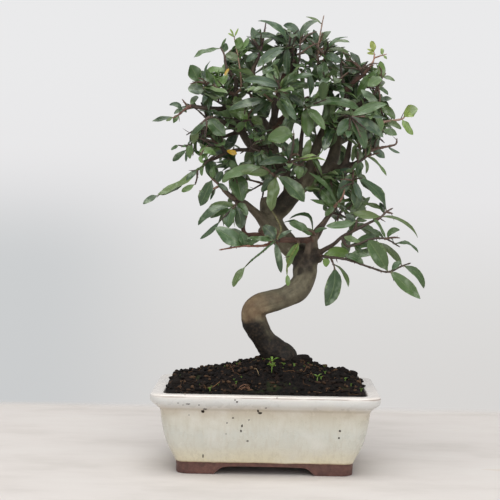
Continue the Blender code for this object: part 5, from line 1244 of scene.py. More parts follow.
def soil_look():
    """Dark peaty soil with brown fibres and crumbs."""
    look = Look("dark_soil", 0.95, 0.2)
    shade = look.noise(420, 6, 0.72)
    colour = look.ramp(shade, [(0.34, "0A0908"), (0.5, "141110"), (0.62, "231B17"), (0.76, "3D2E24")])
    patches = look.band(look.noise(70, 4), 0.52, 0.7, 0.0, 0.6)
    colour = look.mix(patches, colour, "2B1F18")
    bits = look.band(look.cells(650), 0.05, 0.2, 1.0, 0.0)
    bits = look.times(bits, look.band(look.noise(240, 2), 0.6, 0.66, 0.0, 0.8))
    colour = look.mix(bits, colour, "7A5C42")
    moss = look.band(look.noise(48, 3, 0.6, look.stretched((1, 1, 1.4))), 0.62, 0.72, 0.0, 0.45)
    colour = look.mix(moss, colour, "2F3A1C")
    relief = [(look.noise(900, 5, 0.75), 0.9, 0.0009), (look.cells(520), 0.5, 0.0006)]
    return look.finish(colour, None, relief)


def crumb_look():
    """Crumbs, bark bits and fibres on the soil, each with the shade its own colour value gives."""
    look = Look("soil_crumbs", 0.92, 0.2)
    own = look.attribute("shade")
    grain = look.noise(1300, 4, 0.7)
    colour = look.mix(look.band(grain, 0.35, 0.7, 0.0, 0.55), own, "120E0C")
    return look.finish(colour, None, [(grain, 0.7, 0.0004)])


def bark_look():
    """Grey-brown bark: fine lines along the limb, dark earthy moss low on the trunk, and painted shade in the
    same dark colours.
    """
    look = Look("grey_brown_bark", 0.72, 0.3)
    facts = look.attribute("bark")
    girth, warm, damp_and_shade = (look.part_of(facts, k) for k in range(3))
    along = look.attribute("grain", "Vector")
    fine = look.noise(620, 5, 0.68)
    streak = look.noise(430, 5, 0.6, along)
    broad = look.noise(110, 3, 0.55, along)
    patch = look.noise(170, 4, 0.6)
    tone = look.sum("MULTIPLY_ADD", patch, 0.38, look.times(broad, 0.3))
    tone = look.sum("MULTIPLY_ADD", fine, 0.1, look.sum("MULTIPLY_ADD", streak, 0.22, tone))
    old = look.ramp(tone, [(0.36, "3F3A30"), (0.45, "575042"), (0.54, "6B6553"), (0.66, "8A836D")])
    brown = look.ramp(tone, [(0.34, "4C3A2C"), (0.44, "68533F"), (0.54, "7E6A51"), (0.68, "9C8664")])
    old = look.mix(look.times(warm, 0.85), old, brown)
    young = look.ramp(tone, [(0.38, "332C28"), (0.5, "51463D"), (0.62, "716154")])
    reddish = look.ramp(tone, [(0.38, "382B27"), (0.5, "573F37"), (0.62, "775A4E")])
    young = look.mix(warm, young, reddish)
    colour = look.mix(look.band(girth, 0.16, 0.55), young, old)
    # Dark moss colours, also used for painted shade on the foot, on the shaded spots and on the crown's limbs
    low = look.ramp(look.noise(420, 6, 0.75), [
        (0.36, "12100E"), (0.5, "211C18"), (0.62, "382F26"), (0.76, "5A4B39")])
    low = look.mix(look.band(look.noise(120, 4), 0.6, 0.72, 0.0, 0.5), low, "343A22")
    colour = look.mix(damp_and_shade, colour, low)
    lichen = look.band(look.noise(165, 3), 0.66, 0.74, 0.0, 0.4)
    lichen = look.times(lichen, look.band(girth, 0.4, 0.7))
    lichen = look.times(lichen, look.band(damp_and_shade, 0.0, 0.3, 1.0, 0.0))
    colour = look.mix(lichen, colour, "A39B85")
    return look.finish(colour, None, [(fine, 0.2, 0.0003), (streak, 0.4, 0.0005)])


def twig_look():
    """Thin bark, red-brown on young wood, with pale specks."""
    look = Look("red_brown_twig", 0.6, 0.35)
    own = look.attribute("shade")
    grain = look.noise(900, 4, 0.65)
    colour = look.mix(look.band(grain, 0.4, 0.72, 0.0, 0.6), own, "2E1F1A")
    specks = look.times(look.band(look.cells(1100), 0.0, 0.12, 1.0, 0.0), 0.35)
    colour = look.mix(specks, colour, "A58E78")
    return look.finish(colour, None, [(grain, 0.6, 0.0003)])


def leaf_look():
    """Glossy leaf: dark green to fresh yellow-green, with painted sheen patches, paler veins and a paler matt
    underside.
    """
    look = Look("glossy_leaf", 0.4, 0.6, coat=0.4)
    look.shader.inputs["Coat Roughness"].default_value = 0.28
    facts = look.attribute("leaf")
    fresh, under, own = (look.part_of(facts, k) for k in range(3))
    grid = look.node("ShaderNodeUVMap", uv_map="blade").outputs[0]
    along = look.part_of(grid, 0)
    off = look.sum("ABSOLUTE", look.sum("MULTIPLY_ADD", look.part_of(grid, 1), 2.0, -1.0))
    mature = look.ramp(own, [
        (0.0, "1C341A"), (0.28, "2A4620"), (0.52, "3A5628"), (0.78, "4A6631"), (1.0, "647D45")])
    hue = look.sum("FRACT", look.times(own, 9.0))
    mature = look.mix(look.band(hue, 0.14, 0.1, 0.0, 0.5), mature, "5B6A30")
    mature = look.mix(look.band(hue, 0.74, 0.78, 0.0, 0.3), mature, "2F5240")
    new = look.ramp(fresh, [
        (0.0, "41653F"), (0.4, "67883C"), (0.7, "8FA349"), (0.85, "B8983F"), (1.0, "F0BE2E")])
    colour = look.mix(look.band(fresh, 0.05, 0.4), mature, new)
    mottle = look.noise(210, 4, 0.6)
    colour = look.mix(look.band(mottle, 0.4, 0.75, 0.0, 0.4), colour, look.mix(0.5, colour, "667F4E"))
    # Painted sheen: pale grey-green patches that stand in for gloss highlights
    painted_sheen = look.band(look.noise(105, 2, 0.5), 0.53, 0.7, 0.0, 0.5)
    colour = look.mix(painted_sheen, colour, "9AAA90")
    slant = look.sum("SUBTRACT", look.times(along, 13.0), look.times(off, 3.2))
    wave = look.sum("ABSOLUTE", look.sum("SINE", look.times(slant, math.pi)))
    veins = look.times(look.band(wave, 0.0, 0.28, 1.0, 0.0), look.band(off, 0.75, 0.98, 1.0, 0.0))
    rib = look.band(off, 0.03, 0.13, 1.0, 0.0)
    colour = look.mix(look.times(veins, 0.08), colour, "8DA574")
    colour = look.mix(look.times(rib, 0.17), colour, "93A66C")
    colour = look.mix(look.times(look.band(off, 0.9, 1.0), 0.35), colour, "7A5A3C")
    stalk = look.band(along, 0.03, 0.09, 0.6, 0.0)
    colour = look.mix(stalk, colour, "75603F")
    back = look.mix(0.5, colour, "72895C")
    colour = look.mix(under, colour, back)
    spots = look.band(look.cells(260), 0.0, 0.09, 1.0, 0.0)
    spots = look.times(spots, look.band(own, 0.6, 0.9, 0.0, 0.7))
    colour = look.mix(spots, colour, "5C4A2C")
    gloss = look.sum("ADD", look.band(mottle, 0.3, 0.8, 0.34, 0.52), look.times(under, 0.3))
    relief = look.sum("ADD", look.times(rib, -1.0), look.times(veins, -0.35))
    return look.finish(colour, gloss, [(relief, 0.55, 0.0004), (mottle, 0.3, 0.0006)])


def weed_look():
    """Bright seedling green in each weed's own colour, flecked a darker green by a fine grain."""
    look = Look("fresh_weed", 0.5, 0.4)
    own = look.attribute("shade")
    grain = look.noise(1400, 3, 0.6)
    colour = look.mix(look.band(grain, 0.4, 0.7, 0.0, 0.5), own, "4C6A22")
    return look.finish(colour, None, [(grain, 0.4, 0.0002)])


def floor_look():
    """Whitish cream table that gives way to the pale grey of the room behind it."""
    look = Look("pale_floor", 0.7, 0.2)
    stains = look.noise(9, 5, 0.6, look.stretched((1.0, 2.2, 1.0)))
    colour = look.ramp(stains, [(0.3, "CBC5BF"), (0.5, "D6D0CB"), (0.66, "D9D4CF"), (0.8, "D0C2B2")])
    specks = look.band(look.cells(60), 0.0, 0.035, 1.0, 0.0)
    specks = look.times(specks, look.band(look.noise(14, 2), 0.5, 0.7))
    colour = look.mix(look.times(specks, 0.3), colour, "A89684")
    look.finish(colour, None, [(look.noise(160, 4), 0.15, 0.0006)])
    behind = look.band(look.part_of(look.place, 1), TABLE_BACK - 0.02, TABLE_BACK + 0.02)
    beside = look.band(look.sum("ABSOLUTE", look.part_of(look.place, 0)), TABLE_HALF - 0.1, TABLE_HALF)
    before = look.band(look.part_of(look.place, 1), -2.0, -1.9, 1.0, 0.0)
    clear = look.sum("MAXIMUM", look.sum("MAXIMUM", behind, beside), before)
    look.put(look.shader.inputs["Alpha"], look.sum("SUBTRACT", 1.0, clear))
    return look.made


def room_look():
    """The pale grey room round the table, lit evenly but for painted shade: a little darker towards the floor
    and low on the left.
    """
    look = Look("pale_room", 1.0, 0.0)
    height = look.sum("DIVIDE", look.part_of(look.place, 2), ROOM_RADIUS)
    # Painted shade: the glowing grey darkens a little towards the floor
    grey = look.ramp(look.band(height, -0.16, 0.12), [
        (0.0, "D8D6D4"), (0.3, "DEDDDC"), (0.62, "E7E6E7"), (1.0, "EAEAEB")])
    # Painted shade low on the left side of the room
    painted_shade_low_left = look.band(look.sum("DIVIDE", look.part_of(look.place, 0), ROOM_RADIUS), -0.17, -0.03, 1.0, 0.0)
    painted_shade_low_left = look.times(painted_shade_low_left, look.band(height, -0.05, 0.04, 0.75, 0.0))
    grey = look.mix(painted_shade_low_left, grey, "C6C9CB")
    glow = look.node("ShaderNodeEmission")
    look.put(glow.inputs["Color"], grey)
    look.put(look.tree.nodes["Material Output"].inputs["Surface"], glow.outputs[0])
    return look.made


def new_object(name, vertices, faces, looks=()):
    """An object from vertices and faces, with its materials."""
    mesh = bpy.data.meshes.new(name)
    mesh.from_pydata([tuple(v) for v in vertices], [], faces)
    mesh.validate()
    made = bpy.data.objects.new(name, mesh)
    bpy.context.scene.collection.objects.link(made)
    for look in looks:
        mesh.materials.append(look)
    return made


def with_modifier(target, kind, **settings):
    """The target's mesh as one modifier makes it."""
    modifier = target.modifiers.new(kind.lower(), kind)
    for key, value in settings.items():
        setattr(modifier, key, value)
    bpy.context.view_layer.update()
    graph = bpy.context.evaluated_depsgraph_get()
    result = bpy.data.meshes.new_from_object(target.evaluated_get(graph))
    target.modifiers.remove(modifier)
    old = target.data
    target.data = result
    bpy.data.meshes.remove(old)
    return target


def paint(made, name, values):
    """Gives each vertex of a mesh a colour value under a name."""
    layer = made.data.attributes.new(name, "FLOAT_COLOR", "POINT")
    flat = np.ones((len(values), 4), dtype=np.float32)
    flat[:, :3] = np.array(values, dtype=np.float32)[:, :3]
    layer.data.foreach_set("color", flat.ravel())


def hand_over(made, slot, *nodes):
    """Makes a finished piece ride on the body, and stand for its nodes."""
    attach(made, "root")
    if nodes:
        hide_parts(*nodes)
    return made


def curve_through(points, radii, step):
    """Points and radii of a smooth curve through the given ones, about one step apart."""
    ends = [points[0] * 2 - points[1]] + list(points) + [points[-1] * 2 - points[-2]]
    out, sizes = [], []
    for i in range(len(points) - 1):
        a, b, c, d = ends[i:i + 4]
        count = max(1, round((c - b).length / step))
        for k in range(count):
            t = k / count
            spot = b * 2 + (c - a) * t + (a * 2 - b * 5 + c * 4 - d) * t ** 2
            out.append((spot + (b * 3 - a - c * 3 + d) * t ** 3) * 0.5)
            ease = t * t * (3 - 2 * t)
            sizes.append(radii[i] + (radii[i + 1] - radii[i]) * ease)
    out.append(points[-1])
    sizes.append(radii[-1])
    return out, sizes


def softened(profile, rounds=2):
    """A profile with its corners cut, its ends kept."""
    for _ in range(rounds):
        cut = [profile[0]]
        for first, second in zip(profile, profile[1:]):
            for t in (0.25, 0.75):
                cut.append(tuple(a + (b - a) * t for a, b in zip(first, second)))
        profile = cut + [profile[-1]]
    return profile


def rounded_ring(inset, height, radius, corner_steps=3, side_steps=(1, 1)):
    """A rounded rectangle, so far in from the lip's edge, as points round the pot."""
    half_x = POT_LENGTH / 2 - inset
    half_y = POT_DEPTH / 2 - inset
    ring = []
    for quarter, (sx, sy) in enumerate([(1, 1), (-1, 1), (-1, -1), (1, -1)]):
        centre = Vector((sx * (half_x - radius), sy * (half_y - radius), height))
        for k in range(corner_steps + 1):
            angle = math.pi / 2 * (quarter + k / corner_steps)
            ring.append(centre + Vector((math.cos(angle), math.sin(angle), 0)) * radius + POT_MIDDLE)
        steps = side_steps[quarter % 2]
        run = 2 * ((half_x, half_y)[quarter % 2] - radius)
        for k in range(1, steps):
            angle = math.pi / 2 * (quarter + 2)
            way = Vector((math.cos(angle), math.sin(angle), 0))
            ring.append(ring[-k] + way * (run * k / steps))
    return ring


def loft(rings):
    """A closed skin over rings of equal count, capped at both ends."""
    count = len(rings[0])
    vertices = [point for ring in rings for point in ring]
    faces = [tuple(reversed(range(count)))]
    for i in range(len(rings) - 1):
        for k in range(count):
            a = i * count + k
            b = i * count + (k + 1) % count
            faces.append((a, b, b + count, a + count))
    faces.append(tuple(range((len(rings) - 1) * count, len(rings) * count)))
    return vertices, faces


def arch_cutter(name, arch, along_y):
    """A bar of arch section that cuts the way between two feet, right through under the pot."""
    foot, shoulder, crown, top = arch
    half = softened([(foot, BELOW), (foot, 0.0), (shoulder, ARCH_SHOULDER), (crown, top), (0.0, top)])
    outline = half[:-1] + [(-x, z) for x, z in reversed(half)]
    rings = []
    for end in (-POT_LENGTH, POT_LENGTH):
        if along_y:
            rings.append([Vector((x, end, z)) + POT_MIDDLE for x, z in outline])
        else:
            rings.append([Vector((end, x, z)) + POT_MIDDLE for x, z in outline])
    if not along_y:
        rings.reverse()
    return new_object(name, *loft(list(reversed(rings))))


def cut(target, tool):
    """Cuts a target with a tool, which is then gone."""
    with_modifier(target, "BOOLEAN", operation="DIFFERENCE", solver="EXACT", object=tool)
    bpy.data.objects.remove(tool)


def build_pot(look):
    """The glazed pot with softly rounded edges, its feet, arches and drain holes."""
    profile = [(inset, height, CORNER_RADIUS - inset * CORNER_TAPER) for inset, height in POT_OUTSIDE]
    profile += [(inset, height, CORNER_RADIUS * INSIDE_CORNER) for inset, height in POT_INSIDE]
    rings = [rounded_ring(*spot, 10, (14, 10)) for spot in softened(profile)]
    pot = new_object("pot_glazed", *loft(rings), [look])
    hollow_inset = POT_OUTSIDE[0][0] + FOOT_RING
    hollow = [rounded_ring(hollow_inset, z, HOLLOW_CORNER, 8) for z in (BELOW, UNDERSIDE)]
    cut(pot, new_object("underside", *loft(hollow)))
    cut(pot, arch_cutter("long arch", LONG_ARCH, True))
    cut(pot, arch_cutter("short arch", SHORT_ARCH, False))
    for side in (-1, 1):
        ends = [POT_MIDDLE + Vector((side * DRAIN_SPREAD, 0, z)) for z in DRAIN_HEIGHTS]
        cut(pot, new_object("drain", *tube(ends, [DRAIN_RADIUS] * 2, DRAIN_SIDES)))
    pot.data.shade_smooth()
    pot.data.set_sharp_from_angle(angle=POT_SHARP)
    return hand_over(pot, "glaze", "pot")


def soil_height(x, y):
    """The soil's surface over a place given from the pot's middle."""
    ridge = SOIL_RIDGE[0][1]
    for (ax, az), (bx, bz) in zip(SOIL_RIDGE, SOIL_RIDGE[1:]):
        if x >= ax:
            ridge = az + (bz - az) * min(1.0, (x - ax) / (bx - ax))
    half = POT_DEPTH / 2 - LIP_WIDTH
    fall = min(1.0, abs(y) / half)
    return SOIL_EDGE + (ridge - SOIL_EDGE) * (1 - fall ** SOIL_FALL)


def soil_top(x, y):
    """The soil's crumbly surface over a place in the scene."""
    spot = Vector((x, y, 0.0))
    lumps = sum(noise.noise(spot * fineness) * height for fineness, height in SOIL_LUMPS)
    half_x = POT_LENGTH / 2 - LIP_WIDTH
    half_y = POT_DEPTH / 2 - LIP_WIDTH
    edge = max(abs(x - POT_MIDDLE.x) / half_x, abs(y - POT_MIDDLE.y) / half_y)
    most, start, over = CALM_EDGE
    calm = 1.0 - most * clamped((edge - start) / over)
    return soil_height(x - POT_MIDDLE.x, y - POT_MIDDLE.y) + lumps * calm


def on_soil(across, down):
    """Where the sight line first meets the soil's front slope."""
    depth = SIGHT_DEPTH
    while depth < 0:
        place = seen(across, down, depth)
        if place.z < soil_height(place.x - POT_MIDDLE.x, place.y - POT_MIDDLE.y):
            break
        depth += SIGHT_STEP
    return Vector((place.x, place.y, soil_top(place.x, place.y)))


def build_soil(look):
    """The soil: it fills the pot and mounds up to the trunk, lumpy and crumbly on top."""
    def ring_at(inset, height):
        return rounded_ring(inset + CLEARANCE, height, CORNER_RADIUS * SOIL_CORNER, 8, SOIL_SIDES)

    edge = ring_at(LIP_WIDTH + SOIL_SHRINK, SOIL_EDGE)
    apex = seen(*SOIL_APEX)
    rings = [ring_at(POT_INSIDE[3][0], FLOOR_TOP + SEAT_GAP), ring_at(*POT_INSIDE[2])]
    rings.append([Vector((p.x, p.y, SOIL_EDGE - SOIL_DROP)) for p in edge])
    for step in range(SOIL_RINGS):
        share = SOIL_OUTER - SOIL_RUN * step / (SOIL_RINGS - 1)
        ring = []
        for point in edge:
            x = apex.x + (point.x - apex.x) * share
            y = apex.y + (point.y - apex.y) * share
            ring.append(Vector((x, y, soil_top(x, y))))
        rings.append(ring)
    soil = new_object("soil_surface", *loft(rings), [look])
    soil.data.shade_smooth()
    return hand_over(soil, "soil", "soil")


def half_axes(x, y, z):
    """Three half axes along the scene's own."""
    return [Vector((x, 0, 0)), Vector((0, y, 0)), Vector((0, 0, z))]


def lump(centre, axes, seed, steps=(6, 8)):
    """Vertices and faces of a small uneven stone or crumb, on three half axes."""
    rows, turns = steps
    vertices = []
    for i in range(rows + 1):
        polar = math.pi * i / rows
        for k in range(turns):
            angle = 2 * math.pi * (k + 0.5 * (i % 2)) / turns
            flat = math.sin(polar)
            way = Vector((flat * math.cos(angle), flat * math.sin(angle), math.cos(polar)))
            swell = 1.0
            if seed is not None:
                swell += 0.38 * noise.noise(way * 1.7 + Vector((seed * 3.7, 0, 0)))
            vertices.append(centre + (axes[0] * way.x + axes[1] * way.y + axes[2] * way.z) * swell)
            if i in (0, rows):
                break
    faces = []

    def ring(i, k):
        if i == 0:
            return 0
        if i == rows:
            return len(vertices) - 1
        return 1 + (i - 1) * turns + k % turns

    for i in range(rows):
        for k in range(turns):
            a, b, c, d = ring(i, k), ring(i + 1, k), ring(i + 1, k + 1), ring(i, k + 1)
            if i == 0:
                faces.append((a, b, c))
            elif i == rows - 1:
                faces.append((a, b, d))
            else:
                faces.append((a, b, c, d))
    return vertices, faces


class Heap:
    """Many small closed meshes gathered into one piece, each with a shade of its own."""

    def __init__(self):
        self.vertices = []
        self.faces = []
        self.shades = []

    def add(self, mesh_data, shade):
        vertices, faces = mesh_data
        start = len(self.vertices)
        self.vertices += list(vertices)
        self.faces += [tuple(start + k for k in face) for face in faces]
        self.shades += [linear(shade)[:3]] * len(vertices)

    def piece(self, name, look):
        made = new_object(name, self.vertices, self.faces, [look])
        paint(made, "shade", self.shades)
        made.data.shade_smooth()
        return made


def build_crumbs(look):
    """Loose crumbs, bark bits, stones and root fibres that lie on the soil."""
    chance = random.Random("crumbs")
    heap = Heap()
    half_x = POT_LENGTH / 2 - LIP_WIDTH - 0.002
    half_y = POT_DEPTH / 2 - LIP_WIDTH - 0.002
    count = CRUMBS
    for index in range(count):
        x = POT_MIDDLE.x + chance.uniform(-half_x, half_x)
        y = POT_MIDDLE.y + chance.uniform(-half_y, half_y)
        size = chance.choice(CRUMB_SIZES)
        shade = chance.choice(CRUMB_SHADES)
        turn = Matrix.Rotation(chance.uniform(0, math.pi), 3, "Z")
        turn = turn @ Matrix.Rotation(chance.uniform(-0.6, 0.6), 3, "X")
        halves = (size * chance.uniform(0.8, 1.9), size * chance.uniform(0.6, 1.1), size * 0.7)
        axes = [turn @ axis for axis in half_axes(*halves)]
        heap.add(lump(Vector((x, y, soil_top(x, y) + size * 0.25)), axes, index), shade)
    for (across, down), size in LUMPS:
        foot = on_soil(across, down)
        axes = half_axes(size * 1.2, size, size * 0.9)
        heap.add(lump(foot + Vector((0, size * 0.4, 0)), axes, across, (10, 14)), "1D1815")
    for points, radius, shade in ROOT_FIBRES:
        line = []
        for across, down, rise in points:
            foot = on_soil(across, down)
            line.append(foot + Vector((0, 0, rise)))
        path, sizes = curve_through(line, [radius] * len(line), 0.0008)
        sizes[0] = sizes[-1] = radius * 0.4
        heap.add(tube(path, sizes, 6), shade)
    for index in range(FIBRES):
        x = POT_MIDDLE.x + chance.uniform(-half_x, half_x) * 0.96
        y = POT_MIDDLE.y + chance.uniform(-half_y, half_y) * 0.96
        turn = chance.uniform(0, 2 * math.pi)
        bend = chance.uniform(-0.5, 0.5)
        radius = chance.uniform(0.00012, 0.00028)
        line = []
        for _ in range(chance.randrange(5, 10)):
            line.append(Vector((x, y, soil_top(x, y) + radius + chance.uniform(0, 0.0006))))
            x += math.cos(turn) * FIBRE_STEP
            y += math.sin(turn) * FIBRE_STEP
            turn += bend + chance.uniform(-0.35, 0.35)
            x = max(POT_MIDDLE.x - half_x, min(POT_MIDDLE.x + half_x, x))
            y = max(POT_MIDDLE.y - half_y, min(POT_MIDDLE.y + half_y, y))
        path, sizes = curve_through(line, [radius] * len(line), 0.0009)
        heap.add(tube(path, sizes, 5), chance.choice(FIBRE_SHADES))
    return hand_over(heap.piece("soil_crumbs_and_roots", look), "soil")


def build_trunk(look, limbs):
    """The trunk and all its limbs as one skin, with knots, ridges and lines along the bark."""
    vertices, faces = [], []
    axis, girths, ways, lengths, sides, reds = [], [], [], [], [], []
    for name, _, points, radii in limbs:
        path, sizes = curve_through(points, radii, BARK_STEP)
        wobble = random.Random(name).uniform(0, 50)
        shaped = []
        for point, size in zip(path, sizes):
            swell = noise.noise(point * 90 + Vector((wobble, 0, 0))) * BARK_SWELL
            shaped.append(size * (1.0 + swell))
        mesh_vertices, mesh_faces = tube(path, shaped, 20)
        start = len(vertices)
        vertices += mesh_vertices
        faces += [tuple(start + k for k in face) for face in mesh_faces]
        length = wobble
        for i, (point, size) in enumerate(zip(path, sizes)):
            length += (point - path[max(i - 1, 0)]).length
            lengths.append(length)
            axis.append(point)
            girths.append(size)
            ways.append((path[min(i + 1, len(path) - 1)] - path[max(i - 1, 0)]).normalized())
            reds.append(name in RED_LIMBS and size < YOUNG_GIRTH)
            side = ways[-1].orthogonal() if i == 0 else sides[-1]
            sides.append((side - ways[-1] * side.dot(ways[-1])).normalized())
    for (across, down, depth), size, squash in KNOTS:
        start = len(vertices)
        axes = half_axes(size, size, size * squash)
        mesh_vertices, mesh_faces = lump(seen(across, down, depth), axes, across, (12, 16))
        vertices += mesh_vertices
        faces += [tuple(start + k for k in face) for face in mesh_faces]
    trunk = new_object("trunk_bark", vertices, faces)
    with_modifier(trunk, "REMESH", mode="VOXEL", voxel_size=BARK_VOXEL)
    with_modifier(trunk, "SMOOTH", factor=0.5, iterations=3)
    near = KDTree(len(axis))
    for index, point in enumerate(axis):
        near.insert(point, index)
    near.balance()
    mesh = trunk.data
    facts = []
    grain = []
    moved = []
    shades = [(seen(*place), reach) for place, reach in PAINTED_SHADE_SPOTS]
    warmest = seen(*WARM_BARK[0])
    for vertex in mesh.vertices:
        spot = vertex.co
        _, index, _ = near.find(spot)
        way = ways[index]
        girth = girths[index]
        offset = spot - axis[index]
        run = offset.dot(way)
        over = way.cross(sides[index])
        squeezed = Vector((offset.dot(sides[index]), offset.dot(over), (lengths[index] + run) * GRAIN_PULL))
        grain.append(squeezed)
        streak = noise.noise(squeezed * 330) * 0.7 + noise.noise(squeezed * 620) * 0.3
        coarse = noise.noise(spot * 260) + 0.5 * noise.noise(spot * 560)
        # The dark foot: damp moss and painted shade under the kink, its edge rising to the right
        tilt = max(0.0, min(0.008, 0.4 * (spot.x - DAMP_AND_SHADE_LEFT)))
        damp_and_shade = clamped((DAMP_AND_SHADE_TOP + tilt + 0.005 * noise.noise(spot * 120) - spot.z) / 0.005)
        # Painted light: bark that faces right, above LIT_FOOT, keeps less of the dark
        lit = 0.5 * clamped((vertex.normal.x - 0.35) / 0.5)
        damp_and_shade *= 1.0 - lit * clamped((spot.z - LIT_FOOT) / 0.006)
        share = min(1.0, girth / OLD_GIRTH)
        lift = streak * 0.0002 * share + coarse * (0.00005 + 0.00036 * damp_and_shade) * share
        moved.append(spot + vertex.normal * lift)
        # Painted shade spots: darker bark where the fork and the inner elbow lie in shadow
        for centre, reach in shades:
            gap = (spot - centre).length / reach + 0.35 * noise.noise(spot * 150)
            damp_and_shade = max(damp_and_shade, 0.85 * clamped((1.15 - gap) / 0.5))
        # Painted shade on the limbs within the crown, weaker on the reddish limbs
        inner = clamped((spot.z - SHADE_FROM) / SHADE_OVER + 0.4 * noise.noise(spot * 90))
        damp_and_shade = max(damp_and_shade, SHADE_DEPTH * inner * (0.2 if reds[index] else 1.0))
        warm = 1.4 - (spot - warmest).length / WARM_BARK[1] + 0.6 * noise.noise(spot * 110)
        warm = 1.0 if reds[index] else clamped(warm)
        facts.append((share, warm, damp_and_shade))
    mesh.vertices.foreach_set("co", [value for point in moved for value in point])
    mesh.update()
    mesh.materials.append(look)
    paint(trunk, "bark", facts)
    paint(trunk, "grain", grain)
    mesh.shade_smooth()
    return hand_over(trunk, "bark", "trunk")


def outline_share(t):
    """How much of its full width a leaf has, so far along it."""
    for (at, share), (after, later) in zip(LEAF_OUTLINE, LEAF_OUTLINE[1:]):
        if t <= after:
            k = (t - at) / (after - at)
            k = k * k * (3 - 2 * k) * 0.5 + k * 0.5
            return share + (later - share) * k
    return 0.0


def fine_leaf(leaf, chance):
    """Vertices, faces, blade grid and underside flags of a leaf: folded, bowed and wavy."""
    length = (leaf.tip - leaf.base).length
    half = leaf.width / 2
    wave = chance.uniform(*LEAF_WAVE)
    phase = chance.uniform(0, 6.28)
    rate = chance.uniform(7, 12)
    fold = BLADE_FOLD * chance.uniform(*LEAF_FOLD)
    droop = chance.uniform(*LEAF_DROOP) * length
    twist = chance.uniform(-LEAF_TWIST, LEAF_TWIST)
    early = chance.uniform(*LEAF_EARLY)
    vertices, grid, under = [], [], []
    rows = len(LEAF_ROWS)
    for t in LEAF_ROWS:
        along = ((leaf.tip - leaf.base) + leaf.bulge * (4 - 8 * t)).normalized()
        normal = (leaf.normal - along * leaf.normal.dot(along)).normalized()
        across = normal.cross(along)
        turn = twist * (t - 0.45)
        normal, across = (normal * math.cos(turn) + across * math.sin(turn),
                          across * math.cos(turn) - normal * math.sin(turn))
        centre = leaf.base + (leaf.tip - leaf.base) * t + leaf.bulge * (4 * t * (1 - t))
        centre -= normal * (droop * t ** 3)
        if t == 0:
            centre -= along * ROOT_SINK
        wide = half * outline_share(t ** early)
        thick = LEAF_THIN + LEAF_TAPER * (1 - t)
        for side, face in LEAF_RING:
            lift = fold * abs(side) ** 1.4 * wide
            lift += wave * wide * abs(side) ** 2 * math.sin(phase + rate * t + side)
            lift += thick * face * (1 - abs(side))
            vertices.append(centre + across * (side * wide) + normal * lift)
            grid.append((t, side * 0.5 + 0.5))
    turns = len(LEAF_RING)
    faces = [tuple(range(turns))]
    under.append(True)
    for row in range(rows - 1):
        for k in range(turns):
            a = row * turns + k
            b = row * turns + (k + 1) % turns
            faces.append((a, a + turns, b + turns, b))
            under.append(k >= turns // 2)
    faces.append(tuple(reversed(range((rows - 1) * turns, rows * turns))))
    under.append(True)
    return vertices, faces, grid, under


def freshness(leaf):
    """How fresh a leaf's green is: new growth shows at some tips of the real tree."""
    across, down = shown(leaf.base.lerp(leaf.tip, 0.5))
    fresh = 0.0
    for (u, v), reach, amount in FRESH:
        if math.dist((u, v), (across, down)) < reach:
            fresh = max(fresh, amount)
    return fresh


def leaf_tone(leaf, own):
    """Where a leaf is in the run of greens: its own draw, deeper in the crown and at the low tips."""
    across, down = shown(leaf.base.lerp(leaf.tip, 0.5))
    for (u, v), reach, amount in DEEP_GREEN:
        if math.dist((u, v), (across, down)) < reach:
            return own * (1 - amount)
    return own


def fine_twig(twig, first, slim, inward, chance):
    """A young twig: smooth, jointed where leaves sit, and flared where it leaves the bark."""
    points = list(twig.points)
    radii = list(twig.radii)
    if first:
        points[0] = points[0] + inward * TWIG_SINK
        radii[0] *= TWIG_FLARE
    path, sizes = curve_through(points, [r * slim for r in radii], TWIG_STEP)
    shaped = []
    for i, size in enumerate(sizes):
        joint = 1.0 + (TWIG_JOINT if i % 4 == 2 else 0.0) + chance.uniform(-0.05, 0.05)
        shaped.append(size * joint)
    shaped[-1] *= 0.5
    return path, shaped


def drawn_in(point):
    """The point, drawn in towards the CAD box where it stands out behind or in front of it."""
    over = abs(point.y) - cad_box[1][1]
    if over <= 0:
        return point
    return Vector((point.x, math.copysign(cad_box[1][1] + over * DRAWN_IN, point.y), point.z))


